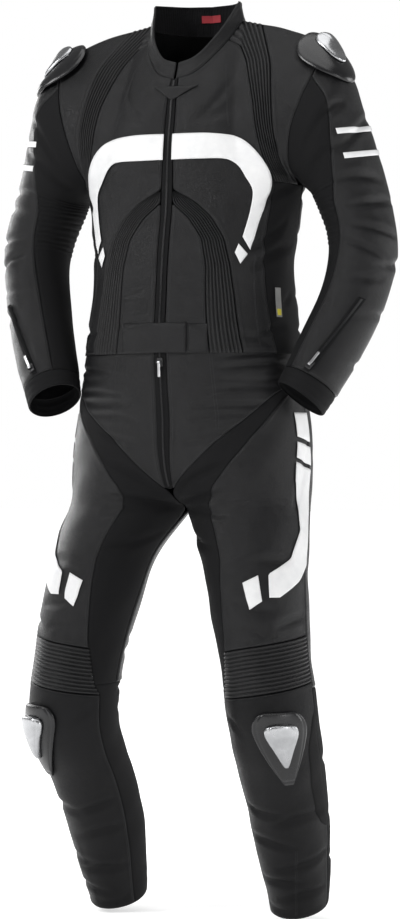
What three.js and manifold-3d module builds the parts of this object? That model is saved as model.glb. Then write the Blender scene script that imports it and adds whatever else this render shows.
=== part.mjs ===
// Two-piece motorcycle race suit, filled out as worn by a general figure.
// Millimetres, +Z up. The front faces -Y and the wearer's left is +X.
// The origin lies between the shoulders, at the height of the neck's base.
import * as THREE from 'three';
import { mergeVertices } from 'three/addons/utils/BufferGeometryUtils.js';
import Module from 'manifold-3d';

const wasm = await Module();
wasm.setup();

// ---------------------------------------------------------------- driving sizes
const SEAM = 0.4;            // gap between two sewn pieces
const INWARD = 0.002;        // how far inside a panel's edge its outward direction is taken
const WALL = 1.6;            // leather or stretch cloth
const LIFT = 1.3;            // how far a piece that lies on a panel stands off it
const PATCH = 1.2;           // thickness of a piece that lies on a panel
const ZIP_HALF = 6;          // half the width of a zip's tape
const ARMPIT = -226;         // height of the armpits, where the yoke begins
const YOKE_TOP = 14;         // top station of the yoke
const NECK_SHARE = 0.45;     // share of a yoke's top edge that is neckline
const JACKET_HEM = -505;
const WAIST = -492;          // top of the trousers, inside the jacket's hem
const HIP = -635;            // lowest open ring of the trousers
const CROTCH = -750;         // first closed ring of a leg
const ANKLE = -1408;

// Jacket rings: height, half width, front and back depth.
const torsoRings = [
  { z: -505, half: 184, front: -145, back: 129 },
  { z: -455, half: 175, front: -144, back: 126 },
  { z: -363, half: 169, front: -134, back: 118 },
  { z: -295, half: 176, front: -124, back: 118 },
  { z: -226, half: 186, front: -114, back: 114 },
];

// Trouser rings from the waist to the hips, in the same columns.
const hipRings = [
  { z: -492, half: 178.8, front: -142, back: 125.4 },
  { z: -520, half: 183.6, front: -142, back: 125 },
  { z: -577, half: 194, front: -137, back: 119 },
  { z: -635, half: 205, front: -131, back: 110 },
];

// Leg rings of the wearer's left leg: centre, half width, half depth and how much the ring climbs to the back.
const legRings = [
  { z: -750, x: 103, y: -22, across: 102.5, deep: 100, tilt: 0 },
  { z: -790, x: 119, y: -46, across: 94, deep: 96, tilt: 0 },
  { z: -835, x: 134, y: -66, across: 86, deep: 90, tilt: 0 },
  { z: -900, x: 148, y: -84, across: 81, deep: 84, tilt: 0 },
  { z: -973, x: 161, y: -94, across: 75, deep: 79, tilt: 0 },
  { z: -1040, x: 172, y: -98, across: 73, deep: 76, tilt: 0.05 },
  { z: -1099, x: 178, y: -94, across: 73, deep: 76, tilt: 0.1 },
  { z: -1150, x: 177, y: -70, across: 70, deep: 74, tilt: 0.15 },
  { z: -1193, x: 173, y: -38, across: 68, deep: 72, tilt: 0.2 },
  { z: -1256, x: 169, y: -2, across: 64, deep: 68, tilt: 0.25 },
  { z: -1345, x: 166, y: 32, across: 55, deep: 60, tilt: 0.3 },
  { z: -1408, x: 164, y: 50, across: 47, deep: 51, tilt: 0.35 },
];

// Sleeve rings of the wearer's left arm: outer and inner point, and half depth across them.
const sleeveRings = [
  { outer: [268, 4, -50], inner: [192, 2, -231], deep: 80 },
  { outer: [290, 8, -110], inner: [200, 5, -237], deep: 76 },
  { outer: [312, 11, -178], inner: [208, 9, -246], deep: 71 },
  { outer: [334, 12, -250], inner: [216, 12, -266], deep: 65 },
  { outer: [348, 8, -312], inner: [234, 8, -312], deep: 60 },
  { outer: [347, 0, -365], inner: [239, 0, -355], deep: 57 },
  { outer: [333, -18, -435], inner: [228, -16, -414], deep: 54 },
  { outer: [304, -46, -515], inner: [206, -46, -482], deep: 50 },
  { outer: [258, -82, -602], inner: [180, -82, -556], deep: 45 },
];
const CUFF_END = -sleeveRings.length;

const vec = ([x, y, z]) => new THREE.Vector3(x, y, z);
const curve = (points) => new THREE.CatmullRomCurve3(points.map(vec), false, 'catmullrom', 0.5);

// Edges of the yoke on the wearer's left, from the armpit up.
const centreFront = curve([[0, -114, -226], [0, -110, -170], [0, -101, -112], [0, -87, -57]]);
const centreBack = curve([[0, 114, -226], [0, 124, -155], [0, 120, -75], [0, 102, -15], [0, 74, 40]]);
const shoulderPoint = [238, -2, -2];
const neckSide = [84, 4, 44];
const armholeFront = curve([[186, 0, -226], [187, -50, -203], [199, -77, -150], [216, -72, -98],
  [231, -44, -46], shoulderPoint]);
const armholeBack = curve([[186, 0, -226], [187, 52, -203], [198, 82, -150], [214, 78, -95],
  [230, 48, -42], shoulderPoint]);
const neckFront = curve([[0, -87, -57], [36, -77, -44], [66, -44, -4], neckSide]);
const neckBack = curve([[0, 74, 40], [44, 62, 41], [74, 34, 43], neckSide]);
const shoulderSeam = curve([neckSide, [160, 1, 27], shoulderPoint]);

// Rises of the trousers, from the hips to the crotch.
const riseFront = curve([[0, -131, -635], [0, -125, -688], [0, -103, -730], [0, -64, -749], [0.5, -22, -750]]);
const riseBack = curve([[0, 110, -635], [0, 102, -690], [0, 72, -734], [0, 28, -749], [0.5, -22, -750]]);

// ---------------------------------------------------------------- surfaces
// A smooth value of one column of a table at a height between its rows.
function smooth(rows, column, at) {
  const key = (i) => rows[Math.min(Math.max(i, 0), rows.length - 1)];
  const down = rows[0].z > rows[1].z;
  let i = 0;
  while (i < rows.length - 2 && (down ? at < rows[i + 1].z : at > rows[i + 1].z)) i += 1;
  const [a, b, c, d] = [key(i - 1), key(i), key(i + 1), key(i + 2)];
  const span = c.z - b.z;
  const t = (at - b.z) / span;
  const slopeB = ((c[column] - a[column]) / (c.z - a.z)) * span;
  const slopeC = ((d[column] - b[column]) / (d.z - b.z)) * span;
  const t2 = t * t;
  const t3 = t2 * t;
  return b[column] * (2 * t3 - 3 * t2 + 1) + slopeB * (t3 - 2 * t2 + t)
    + c[column] * (3 * t2 - 2 * t3) + slopeC * (t3 - t2);
}

const SQUARE = 0.9;          // below 1 a ring is a little squarer than an ellipse
const powered = (value) => Math.sign(value) * Math.abs(value) ** SQUARE;

// Half ring: u is 0 at the centre front, 1 at the side and 2 at the centre back.
function openRing(rings, u, z) {
  const half = smooth(rings, 'half', z);
  const front = smooth(rings, 'front', z);
  const back = smooth(rings, 'back', z);
  const middle = (front + back) / 2;
  const turn = (u * Math.PI) / 2;
  const depth = u < 1 ? middle - front : back - middle;
  return new THREE.Vector3(half * powered(Math.sin(turn)), middle - depth * powered(Math.cos(turn)), z);
}

// A patch between four edges, with the left edge's bulge fading out by the power given.
function coons(bottom, top, left, right, u, w, power = 1) {
  const fadeLeft = (1 - u) ** power;
  const fadeRight = u ** power;
  const point = bottom(u).multiplyScalar(1 - w).addScaledVector(top(u), w);
  for (const [edge, fade, end] of [[left, fadeLeft, 0], [right, fadeRight, 1]]) {
    point.addScaledVector(edge(w), fade);
    point.addScaledVector(bottom(end), -fade * (1 - w));
    point.addScaledVector(top(end), -fade * w);
  }
  return point;
}

const yokeEdge = (neck) => (u) => (u < NECK_SHARE ? neck.getPoint(u / NECK_SHARE)
  : shoulderSeam.getPoint((u - NECK_SHARE) / (1 - NECK_SHARE)));

const mirrorPoint = (point) => point.setX(-point.x);

// Jacket body: u as in openRing, below 0 and above 2 on the wearer's right; v is the height, stretched in the yoke.
function torso(u, v) {
  if (u < 0) return mirrorPoint(torso(-u, v));
  if (u > 2) return mirrorPoint(torso(4 - u, v));
  if (v <= ARMPIT) return openRing(torsoRings, u, v);
  const w = (v - ARMPIT) / (YOKE_TOP - ARMPIT);
  if (u <= 1) {
    return coons((t) => openRing(torsoRings, t, ARMPIT), yokeEdge(neckFront),
      (t) => centreFront.getPoint(t), (t) => armholeFront.getPoint(t), u, w);
  }
  return coons((t) => openRing(torsoRings, 2 - t, ARMPIT), yokeEdge(neckBack),
    (t) => centreBack.getPoint(t), (t) => armholeBack.getPoint(t), 2 - u, w);
}

const wrap = (u) => u - Math.floor(u);

// The armhole's loop, from the armpit up the front and down the back.
function armhole(u) {
  const t = wrap(u);
  return t < 0.5 ? armholeFront.getPoint(2 * t) : armholeBack.getPoint(2 - 2 * t);
}

function sleeveRing(index, u) {
  const { outer, inner, deep } = sleeveRings[index];
  const before = sleeveRings[Math.max(index - 1, 0)];
  const after = sleeveRings[Math.min(index + 1, sleeveRings.length - 1)];
  const middle = (row) => vec(row.outer).add(vec(row.inner)).multiplyScalar(0.5);
  const along = middle(after).sub(middle(before));
  const across = vec(outer).sub(vec(inner)).multiplyScalar(0.5);
  const forward = new THREE.Vector3().crossVectors(across, along).normalize().multiplyScalar(-deep);
  if (forward.y > 0) forward.negate();
  const turn = wrap(u) * 2 * Math.PI;
  return middle(sleeveRings[index]).addScaledVector(across, -Math.cos(turn)).addScaledVector(forward, Math.sin(turn));
}

// Sleeve: u is 0 at the inner arm, 0.25 at the front, 0.5 outside; v falls from 0 at the armhole to CUFF_END.
function sleeve(u, v) {
  const at = Math.min(Math.max(-v, 0), -CUFF_END);
  const row = (i) => (i <= 0 ? armhole(u) : sleeveRing(Math.min(i, -CUFF_END) - 1, u));
  const i = Math.min(Math.floor(at), -CUFF_END - 1);
  const t = at - i;
  const [a, b, c, d] = [row(Math.max(i - 1, 0)), row(i), row(i + 1), row(i + 2)];
  const t2 = t * t;
  const t3 = t2 * t;
  return new THREE.Vector3()
    .addScaledVector(a, 0.5 * (-t3 + 2 * t2 - t))
    .addScaledVector(b, 0.5 * (3 * t3 - 5 * t2 + 2))
    .addScaledVector(c, 0.5 * (-3 * t3 + 4 * t2 + t))
    .addScaledVector(d, 0.5 * (t3 - t2));
}

function legRing(u, z) {
  const turn = u * 2 * Math.PI;
  const reach = -smooth(legRings, 'deep', z) * Math.sin(turn);
  return new THREE.Vector3(smooth(legRings, 'x', z) - smooth(legRings, 'across', z) * Math.cos(turn),
    smooth(legRings, 'y', z) + reach, z + smooth(legRings, 'tilt', z) * reach);
}

// Trousers, wearer's left half: u is 0 at the front rise and inseam, 0.25 in front, 0.5 at the side, 1 at the back rise.
function trousers(u, v) {
  if (u < 0 && v > CROTCH) return mirrorPoint(trousers(-u, v));
  if (v >= HIP) return openRing(hipRings, 2 * u, v);
  if (v <= CROTCH) return legRing(u, v);
  const w = (v - CROTCH) / (HIP - CROTCH);
  return coons((t) => legRing(t, CROTCH), (t) => openRing(hipRings, 2 * t, HIP),
    (t) => riseFront.getPoint(1 - t), (t) => riseBack.getPoint(1 - t), u, w, 3);
}

// The neckline, once round: 0 at the centre front, 1 at the centre back, 2 at the centre front again.
function neckline(a) {
  if (a > 1) return mirrorPoint(neckline(2 - a));
  return a < 0.5 ? neckFront.getPoint(2 * a) : neckBack.getPoint(2 - 2 * a);
}

const COLLAR = { front: 27, back: 38, lean: 0.08, forward: 5 };
const COLLAR_OPEN = 0.01;    // the collar's end, as a share of its half round
const COLLAR_COLUMNS = 20;
const COLLAR_STEP = (2 - 2 * COLLAR_OPEN) / COLLAR_COLUMNS;

// Collar: a runs as in neckline, h is the share of the collar's height.
function collar(a, h) {
  const base = neckline(a);
  const share = (1 - Math.cos(a * Math.PI)) / 2;
  const height = COLLAR.front + (COLLAR.back - COLLAR.front) * share;
  const shrink = 1 - COLLAR.lean * h;
  return new THREE.Vector3(base.x * shrink, base.y * shrink + (1 - share) * COLLAR.forward * h * 0.5,
    base.z + 0.8 + height * h);
}

// Outward normal of a surface whose u runs to the left of v.
function normal(surface, u, v, scale) {
  const [du, dv] = scale;
  const alongU = surface(u + du, v).sub(surface(u - du, v));
  const alongV = surface(u, v + dv).sub(surface(u, v - dv));
  return alongU.cross(alongV).normalize();
}

const clamp = (value, low, high) => Math.min(Math.max(value, low), high);

function torsoNormal(u, v) {
  const out = normal(torso, u, Math.min(v, YOKE_TOP - 1), [1e-3, 0.5]);
  const ridge = clamp((YOKE_TOP - v) / 12, 0, 1);
  return out.set(out.x, out.y * ridge, out.z).normalize();
}

function sleeveNormal(u, v) {
  const own = normal(sleeve, u, clamp(v, CUFF_END + 0.01, -0.01), [1e-3, 0.01]);
  if (v < -0.5) return own;
  const t = wrap(u);
  const height = ARMPIT + (YOKE_TOP - ARMPIT) * (t < 0.5 ? 2 * t : 2 - 2 * t);
  const body = torsoNormal(t < 0.5 ? 1 - INWARD : 1 + INWARD, clamp(height, ARMPIT + 1, YOKE_TOP));
  const agree = clamp(body.dot(own), 0, 1);
  return body.lerp(own, 1 - (1 - clamp(-v / 0.5, 0, 1)) * agree).normalize();
}

const trousersNormal = (u, v) => normal(trousers, u, v, [1e-3, 0.4]);
const collarNormal = (a, h) => normal(collar, a, h, [1e-3, 0.01]);

const forms = {
  torso: { point: torso, normal: torsoNormal, gap: () => SEAM / 2 },
  sleeve: { point: sleeve, normal: sleeveNormal, gap: (v) => (v > -0.5 ? 0.014 : 0.002) },
  trousers: { point: trousers, normal: trousersNormal, gap: () => SEAM / 2 },
  collar: { point: collar, normal: collarNormal, gap: () => 0 },
};

// ---------------------------------------------------------------- solids
// A closed solid from a grid of rows: outer skin, inner skin and the rim between them.
function shell(rows) {
  const high = rows.length;
  const wide = rows[0].length;
  const positions = [];
  for (const side of ['outer', 'inner']) {
    for (const row of rows) for (const cell of row) positions.push(...cell[side].toArray());
  }
  const at = (side, j, i) => side * high * wide + j * wide + i;
  const index = [];
  const quad = (a, b, c, d) => index.push(a, b, c, a, c, d);
  for (let j = 0; j < high - 1; j += 1) {
    for (let i = 0; i < wide - 1; i += 1) {
      quad(at(0, j, i), at(0, j, i + 1), at(0, j + 1, i + 1), at(0, j + 1, i));
      quad(at(1, j, i), at(1, j + 1, i), at(1, j + 1, i + 1), at(1, j, i + 1));
    }
    quad(at(0, j, 0), at(0, j + 1, 0), at(1, j + 1, 0), at(1, j, 0));
    quad(at(0, j, wide - 1), at(1, j, wide - 1), at(1, j + 1, wide - 1), at(0, j + 1, wide - 1));
  }
  for (let i = 0; i < wide - 1; i += 1) {
    quad(at(0, 0, i + 1), at(0, 0, i), at(1, 0, i), at(1, 0, i + 1));
    quad(at(0, high - 1, i + 1), at(1, high - 1, i + 1), at(1, high - 1, i), at(0, high - 1, i));
  }
  const geometry = new THREE.BufferGeometry();
  geometry.setAttribute('position', new THREE.Float32BufferAttribute(positions, 3));
  geometry.setIndex(index);
  return geometry;
}

// A value from a table of [height, value] pairs, straight between them.
function along(table) {
  return (at) => {
    if (typeof table === 'number') return table;
    let i = 0;
    while (i < table.length - 2 && at > table[i + 1][0]) i += 1;
    const [[z0, u0], [z1, u1]] = [table[i], table[i + 1]];
    return u0 + (u1 - u0) * clamp((at - z0) / (z1 - z0), 0, 1);
  };
}

const stations = {
  torso: [-505, -455, -410, -363, -320, -285, -258, -226, -196, -166, -136, -106, -76, -46, -16, 14],
  sleeve: [-9, -8.6, -8, -7, -6, -5, -4, -3, -2, -1, -0.4, 0],
  trousers: [-1408, -1345, -1256, -1193, -1150, -1099, -1058, -1040, -969, -900, -835, -790, -750,
    -722, -690, -670, -635, -600, -571, -563, -548, -492],
  collar: [0, 0.5, 1],
};

// A sewn panel: between two edges of a form, from one height to another.
function panel(form, { from, to, left, right, columns, lift = -WALL, wall = WALL, steps = stations[form] }) {
  const { point, normal: outward, gap } = forms[form];
  const [low, high] = [from + gap(from), to - gap(to)];
  const heights = [low, ...steps.filter((v) => v > low + gap(from) && v < high - gap(to)), high];
  const [leftAt, rightAt] = [along(left), along(right)];
  const rows = heights.map((v) => {
    const [start, end] = [leftAt(v), rightAt(v)];
    const width = point(start, v).distanceTo(point(start + 1e-3, v)) / 1e-3;
    const trim = SEAM / 2 / Math.max(width, 1);
    return Array.from({ length: columns + 1 }, (_, i) => {
      const share = i / columns;
      const u = start + trim + (end - start - 2 * trim) * share;
      const base = point(u, v);
      const out = outward(clamp(u, start + INWARD, Math.max(end - INWARD, start + INWARD)), v);
      const thick = typeof wall === 'function' ? wall(share, (v - from) / (to - from)) : wall;
      return { outer: base.clone().addScaledVector(out, lift + thick), inner: base.addScaledVector(out, lift) };
    });
  });
  return shell(rows);
}

// A copy with only positions, whose shared vertices are merged.
function merged(geometry) {
  const bare = geometry.clone();
  bare.deleteAttribute('normal');
  bare.deleteAttribute('uv');
  return mergeVertices(bare, 1e-3);
}

function mirrored(geometry) {
  const copy = merged(geometry);
  copy.scale(-1, 1, 1);
  const index = Array.from(copy.index.array);
  for (let i = 0; i < index.length; i += 3) [index[i], index[i + 1]] = [index[i + 1], index[i]];
  copy.setIndex(index);
  return copy;
}

function toManifold(geometry) {
  const { attributes, index } = merged(geometry);
  return new wasm.Manifold(new wasm.Mesh({
    numProp: 3,
    vertProperties: new Float32Array(attributes.position.array),
    triVerts: new Uint32Array(index.array),
  }));
}

function union(geometries) {
  const solid = geometries.map(toManifold).reduce((sum, next) => sum.add(next));
  const mesh = solid.getMesh();
  const geometry = new THREE.BufferGeometry();
  geometry.setAttribute('position', new THREE.BufferAttribute(mesh.vertProperties, 3));
  geometry.setIndex(Array.from(mesh.triVerts));
  return geometry;
}

// ---------------------------------------------------------------- finishes
const finish = (color, roughness, metalness = 0) => new THREE.MeshStandardMaterial({ color, roughness, metalness });
const finishes = {
  leather: finish(0x2c2c2e, 0.5),
  stretch: finish(0x1b1b1d, 0.9),
  white: finish(0xeeeeee, 0.5),
  mesh: finish(0x161616, 0.95),
  label: finish(0x8c8a60, 0.7),
  moulded: finish(0x18181a, 0.3),
  silver: finish(0xb9bcc0, 0.3, 0.9),
  tape: finish(0x141414, 0.8),
};

const suit = new THREE.Group();

function add(name, geometry, material) {
  const mesh = new THREE.Mesh(geometry, material);
  mesh.name = name;
  suit.add(mesh);
}

function addPair(name, geometry, material) {
  add(`${name}_left`, geometry, material);
  add(`${name}_right`, mirrored(geometry), material);
}

// ---------------------------------------------------------------- jacket
const ZIP_SHARE = 0.026;     // share of a quarter ring that the zip's half tape takes
const TAPE_SHARE = 0.023;
const RIB_TOP = -240;        // where the stomach ribs meet the zip
const stomachInner = [[-505, 0.27], [-363, 0.255], [-320, 0.215], [-285, 0.12], [-262, ZIP_SHARE]];
const stomachOuter = [[-505, 0.49], [-410, 0.455], [-363, 0.42], [-320, 0.36], [-285, 0.26], [-258, 0.14],
  [RIB_TOP, ZIP_SHARE]];
const sideFront = [[-505, 0.76], [-455, 0.74], [-320, 0.68], [ARMPIT, 0.7]];
const sideBack = [[-505, 1.14], [-320, 1.12], [-258, 1.06], [ARMPIT, 1.02]];
const backEdge = [...sideBack, [-196, 1.003], [YOKE_TOP, 1.003]];
const ribInner = [[ARMPIT, 0.7], [-166, 0.66], [-106, 0.6], [-46, 0.5], [-16, 0.42], [YOKE_TOP, 0.34]];
const ribOuter = [[ARMPIT, 0.9], [-166, 0.84], [-106, 0.76], [-46, 0.68], [-16, 0.62], [YOKE_TOP, 0.57]];

function buildJacket() {
  const { leather, stretch, tape } = finishes;
  add('main_zip', panel('torso', { from: JACKET_HEM, to: YOKE_TOP, left: -TAPE_SHARE, right: TAPE_SHARE, columns: 2 }), tape);
  addPair('centre_front', panel('torso', {
    from: JACKET_HEM, to: -264, left: ZIP_SHARE, right: stomachInner, columns: 2,
  }), leather);
  addPair('stomach_ribs', panel('torso', {
    from: JACKET_HEM,
    to: RIB_TOP - 2,
    left: [...stomachInner, [RIB_TOP, ZIP_SHARE]],
    right: stomachOuter,
    columns: 3,
  }), stretch);
  addPair('front', panel('torso', {
    from: JACKET_HEM,
    to: YOKE_TOP,
    left: [...stomachOuter, [YOKE_TOP, ZIP_SHARE]],
    right: [...sideFront, ...ribInner.slice(1)],
    columns: 5,
  }), leather);
  addPair('shoulder_ribs', panel('torso', {
    from: ARMPIT, to: YOKE_TOP, left: ribInner, right: ribOuter, columns: 2,
  }), stretch);
  addPair('yoke', panel('torso', { from: ARMPIT, to: YOKE_TOP, left: ribOuter, right: 1, columns: 3 }), leather);
  addPair('side', panel('torso', {
    from: JACKET_HEM, to: ARMPIT, left: sideFront, right: sideBack, columns: 4,
  }), stretch);
  add('back', panel('torso', {
    from: JACKET_HEM,
    to: YOKE_TOP,
    left: backEdge,
    right: backEdge.map(([z, u]) => [z, 4 - u]),
    columns: 14,
  }), leather);
}

function buildNeck() {
  const { leather, mesh, label } = finishes;
  add('collar', panel('collar', { from: 0, to: 1, left: COLLAR_OPEN, right: 2 - COLLAR_OPEN, columns: COLLAR_COLUMNS }), leather);
  const inside = -WALL - 0.4 - PATCH;
  add('neck_lining', panel('collar', {
    from: 0.06,
    to: 0.94,
    left: COLLAR_OPEN + 3 * COLLAR_STEP,
    right: 2 - COLLAR_OPEN - 3 * COLLAR_STEP,
    columns: COLLAR_COLUMNS - 6,
    lift: inside,
    wall: PATCH,
  }), mesh);
  add('neck_label', panel('collar', {
    from: 0.3, to: 0.62, left: 0.93, right: 1.07, columns: 4, lift: inside - 0.6 - 0.8, wall: 0.8,
  }), label);
}

// Where the front of the jacket lies at a place seen from the front.
function frontAt(x, z) {
  const across = Math.abs(x);
  let u = (Math.asin(clamp(across / 200, 0, 0.99)) * 2) / Math.PI;
  let v = z;
  for (let round = 0; round < 12; round += 1) {
    const here = torso(u, v);
    const byU = torso(u + 1e-3, v).sub(here).multiplyScalar(1e3);
    const byV = torso(u, v + 0.5).sub(here).multiplyScalar(2);
    const [ex, ez] = [across - here.x, z - here.z];
    const det = byU.x * byV.z - byV.x * byU.z;
    u = clamp(u + (ex * byV.z - byV.x * ez) / det, -0.05, 1);
    v = clamp(v + (byU.x * ez - ex * byU.z) / det, JACKET_HEM, YOKE_TOP);
  }
  return [x < 0 ? -u : u, v];
}

// A piece that lies on the front: each row runs between two places seen from the front.
function frontPiece(rows, columns, lift = LIFT, wall = PATCH) {
  return shell(rows.map(({ a, b }) => Array.from({ length: columns + 1 }, (_, i) => {
    const share = i / columns;
    const [u, v] = frontAt(a[0] + (b[0] - a[0]) * share, a[1] + (b[1] - a[1]) * share);
    const base = torso(u, v);
    const out = torsoNormal(u, v);
    return { outer: base.clone().addScaledVector(out, lift + wall), inner: base.addScaledVector(out, lift) };
  })));
}

const STRAP_LIFT = 0.9;

// The white arch over the chest: inner and outer edge, from the tip up and over to the zip.
const archRows = [
  { a: [126, -309], b: [135, -331] },
  { a: [134, -270], b: [146, -287] },
  { a: [137, -243], b: [156, -258] },
  { a: [127, -221], b: [162, -228] },
  { a: [117, -204], b: [157, -200] },
  { a: [104, -194], b: [139, -173] },
  { a: [88, -191], b: [113, -156] },
  { a: [60, -191], b: [72, -150] },
  { a: [30, -191], b: [34, -149] },
  { a: [8, -191], b: [8, -149] },
];

function buildFrontPieces() {
  const { white, leather, label } = finishes;
  addPair('chest_arch', frontPiece(archRows, 4, 1.7), white);
  add('zip_flap', frontPiece([
    { a: [-3, -92], b: [4, -92] }, { a: [-20, -80], b: [24, -80] }, { a: [-34, -70], b: [44, -70] },
  ], 4), leather);
  const strapRows = [-504, -492, -480, -468, -456].map((z) => ({ a: [-68, z], b: [46, z] }));
  add('belt_strap', frontPiece(strapRows, 10, STRAP_LIFT, 1.8), leather);
  const tabRows = [-503, -487, -471, -458].map((z) => ({ a: [50, z], b: [80, z] }));
  add('belt_tab', frontPiece(tabRows, 3, STRAP_LIFT), leather);
  add('side_label', panel('torso', {
    from: -446, to: -398, left: 0.8, right: 0.865, columns: 2, lift: LIFT, wall: 0.8,
  }), label);
}

// ---------------------------------------------------------------- sleeves
// Shares of the armhole's loop and of each ring, by row: the stretch panel runs over the inner arm.
const insertFront = [[-9, 0.14], [-6, 0.18], [-4, 0.22], [-2, 0.29], [-1, 0.33], [0, 0.375]];
const insertBack = [[-9, -0.14], [-4, -0.12], [0, -0.0625]];
const CUFF_START = -8.6;

function buildSleeves() {
  const { leather, stretch } = finishes;
  addPair('sleeve_inner', panel('sleeve', {
    from: CUFF_START, to: 0, left: insertBack, right: insertFront, columns: 7,
  }), stretch);
  addPair('sleeve_outer', panel('sleeve', {
    from: CUFF_START, to: 0, left: insertFront, right: insertBack.map(([v, u]) => [v, u + 1]), columns: 9,
  }), leather);
  addPair('cuff', panel('sleeve', { from: CUFF_END, to: CUFF_START, left: 0.003, right: 0.997, columns: 14 }), stretch);
}

// ---------------------------------------------------------------- trousers
const FLY_SHARE = 0.013;
const FLY_END = -690;
const vEdge = [[-690, 0.02], [-670, 0.075], [-635, 0.155], [-600, 0.25], [-571, 0.34], [-563, 0.38], [-548, 0.497]];
const thighEdge = [[-1040, 0.11], [-969, 0.16], [-900, 0.185], [-835, 0.203], [-790, 0.206], [-750, 0.2], [-700, 0.178],
  [-670, 0.2], [-635, 0.245], [-600, 0.32], [-571, 0.395], [-560, 0.488]];
const KNEE_TOP = -969;       // the knee ribs run from here
const KNEE_RIBS_END = -1058; // to here
const INSEAM_FRONT = 0.08;
const bandSteps = [-890, -880, -869, -858, -846, -835, -812, -790, -770, -750, -730, -700, -670, -635];

function buildTrousers() {
  const { leather, stretch, white } = finishes;
  addPair('trouser_front', panel('trousers', {
    from: FLY_END,
    to: WAIST,
    left: FLY_SHARE,
    right: [...vEdge, [-547, 0.5], [WAIST, 0.5]],
    columns: 5,
  }), leather);
  addPair('crotch_stretch', panel('trousers', {
    from: -1040,
    to: -556,
    left: [[-1040, 0.002], [-697, 0.002], ...vEdge],
    right: thighEdge,
    columns: 4,
  }), stretch);
  addPair('thigh', panel('trousers', {
    from: KNEE_TOP, to: -558, left: thighEdge, right: 0.5, columns: 5,
  }), leather);
  addPair('seat', panel('trousers', { from: -1040, to: WAIST, left: 0.5, right: 0.998, columns: 5 }), leather);
  addPair('leg_band', panel('trousers', {
    from: -902,
    to: -600,
    left: [[-902, 0.349], [-858, 0.352], [-835, 0.43], [-790, 0.465], [-750, 0.453], [-700, 0.435], [-600, 0.42]],
    right: [[-902, 0.362], [-871, 0.46], [-845, 0.51], [-600, 0.51]],
    columns: 5,
    steps: bandSteps,
    lift: LIFT,
    wall: PATCH,
  }), white);
}

// Where the knee's moulding sits round the leg: turned out from the front.
const KNEE_TURN = 0.25 + 32 / 360;
const kneeCup = [[-1205, 0.03], [-1180, 0.07], [-1150, 0.095], [-1110, 0.1], [-1080, 0.075], [-1068, 0.04]];
const kneeSlider = [[-1183, 0.008], [-1160, 0.03], [-1130, 0.052], [-1105, 0.058], [-1088, 0.045], [-1080, 0.02]];
const CUP_THICK = 6;
const SLIDER_THICK = 11;

// A moulded shape on the knee: its half width by height, domed from its rim to the thickness given.
function kneePiece(outline, lift, thick, rim) {
  const steps = [-1195, -1180, -1165, -1150, -1135, -1120, -1105, -1093, -1086];
  const dome = (across, up) => rim + (thick - rim) * Math.sqrt(
    clamp(1 - (2 * across - 1) ** 2, 0, 1) * clamp(1 - (2 * up - 1) ** 4, 0, 1));
  return panel('trousers', {
    from: outline[0][0],
    to: outline[outline.length - 1][0],
    left: outline.map(([z, half]) => [z, KNEE_TURN - half]),
    right: outline.map(([z, half]) => [z, KNEE_TURN + half]),
    columns: 6,
    steps,
    lift,
    wall: dome,
  });
}

function buildLowerLegs() {
  const { leather, stretch, moulded, silver } = finishes;
  addPair('knee_ribs', panel('trousers', {
    from: KNEE_RIBS_END, to: KNEE_TOP, left: [[KNEE_RIBS_END, INSEAM_FRONT], ...thighEdge], right: 0.5, columns: 5,
  }), stretch);
  addPair('shin', panel('trousers', {
    from: ANKLE, to: KNEE_RIBS_END, left: INSEAM_FRONT, right: 0.5, columns: 5,
  }), leather);
  addPair('calf', panel('trousers', {
    from: ANKLE, to: -1040, left: 0.5, right: [[KNEE_RIBS_END, 1 + INSEAM_FRONT], [-1040, 1.11]], columns: 6,
  }), stretch);
  addPair('knee_cup', kneePiece(kneeCup, LIFT, CUP_THICK, 2), moulded);
  addPair('knee_slider', kneePiece(kneeSlider, LIFT + CUP_THICK + 0.3, SLIDER_THICK, 2), silver);
}

// ---------------------------------------------------------------- shoulder mouldings
const SHOULDER = { centre: [243, -14, -14], out: [0.72, -0.22, 0.66], along: [0.62, -0.1, -0.75] };

// Places on the cloth near the shoulder, which the cup lies over.
function shoulderCloth() {
  const places = [];
  for (let v = -120; v <= YOKE_TOP; v += 4) {
    for (let u = 0.6; u <= 1.4; u += 0.02) places.push(torso(u === 1 ? 0.999 : u, v));
  }
  for (let v = -3; v <= 0; v += 0.08) {
    for (let u = 0.22; u <= 0.78; u += 0.01) places.push(sleeve(u, v));
  }
  return places;
}

const clothPlaces = shoulderCloth();

// A domed cover over the shoulder, oval, lying over the cloth below it.
function shoulderPiece({ half, wide, lift, thick, rim, shift = 0, columns = 6, rows = 9 }) {
  const e3 = vec(SHOULDER.out).normalize();
  const e1 = vec(SHOULDER.along).addScaledVector(e3, -vec(SHOULDER.along).dot(e3)).normalize();
  const e2 = new THREE.Vector3().crossVectors(e1, e3);
  const centre = vec(SHOULDER.centre).addScaledVector(e1, shift);
  const nearby = 9;
  const heightAt = (place) => {
    let best = -60;
    for (const spot of clothPlaces) {
      const offset = spot.clone().sub(place);
      const height = offset.dot(e3);
      if (height > best && offset.addScaledVector(e3, -height).length() < nearby) best = height;
    }
    return best;
  };
  return shell(Array.from({ length: rows + 1 }, (_, j) => {
    const t = -0.985 + (1.97 * j) / rows;
    const reach = wide * Math.sqrt(1 - Math.abs(t) ** 2.4);
    return Array.from({ length: columns + 1 }, (__, i) => {
      const s = -1 + (2 * i) / columns;
      const flat = centre.clone().addScaledVector(e1, t * half).addScaledVector(e2, s * reach);
      const inner = flat.clone().addScaledVector(e3, heightAt(flat) + lift);
      const crown = rim + (thick - rim) * Math.sqrt((1 - s * s) * (1 - t ** 4));
      return { outer: inner.clone().addScaledVector(e3, crown), inner };
    });
  }));
}

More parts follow.
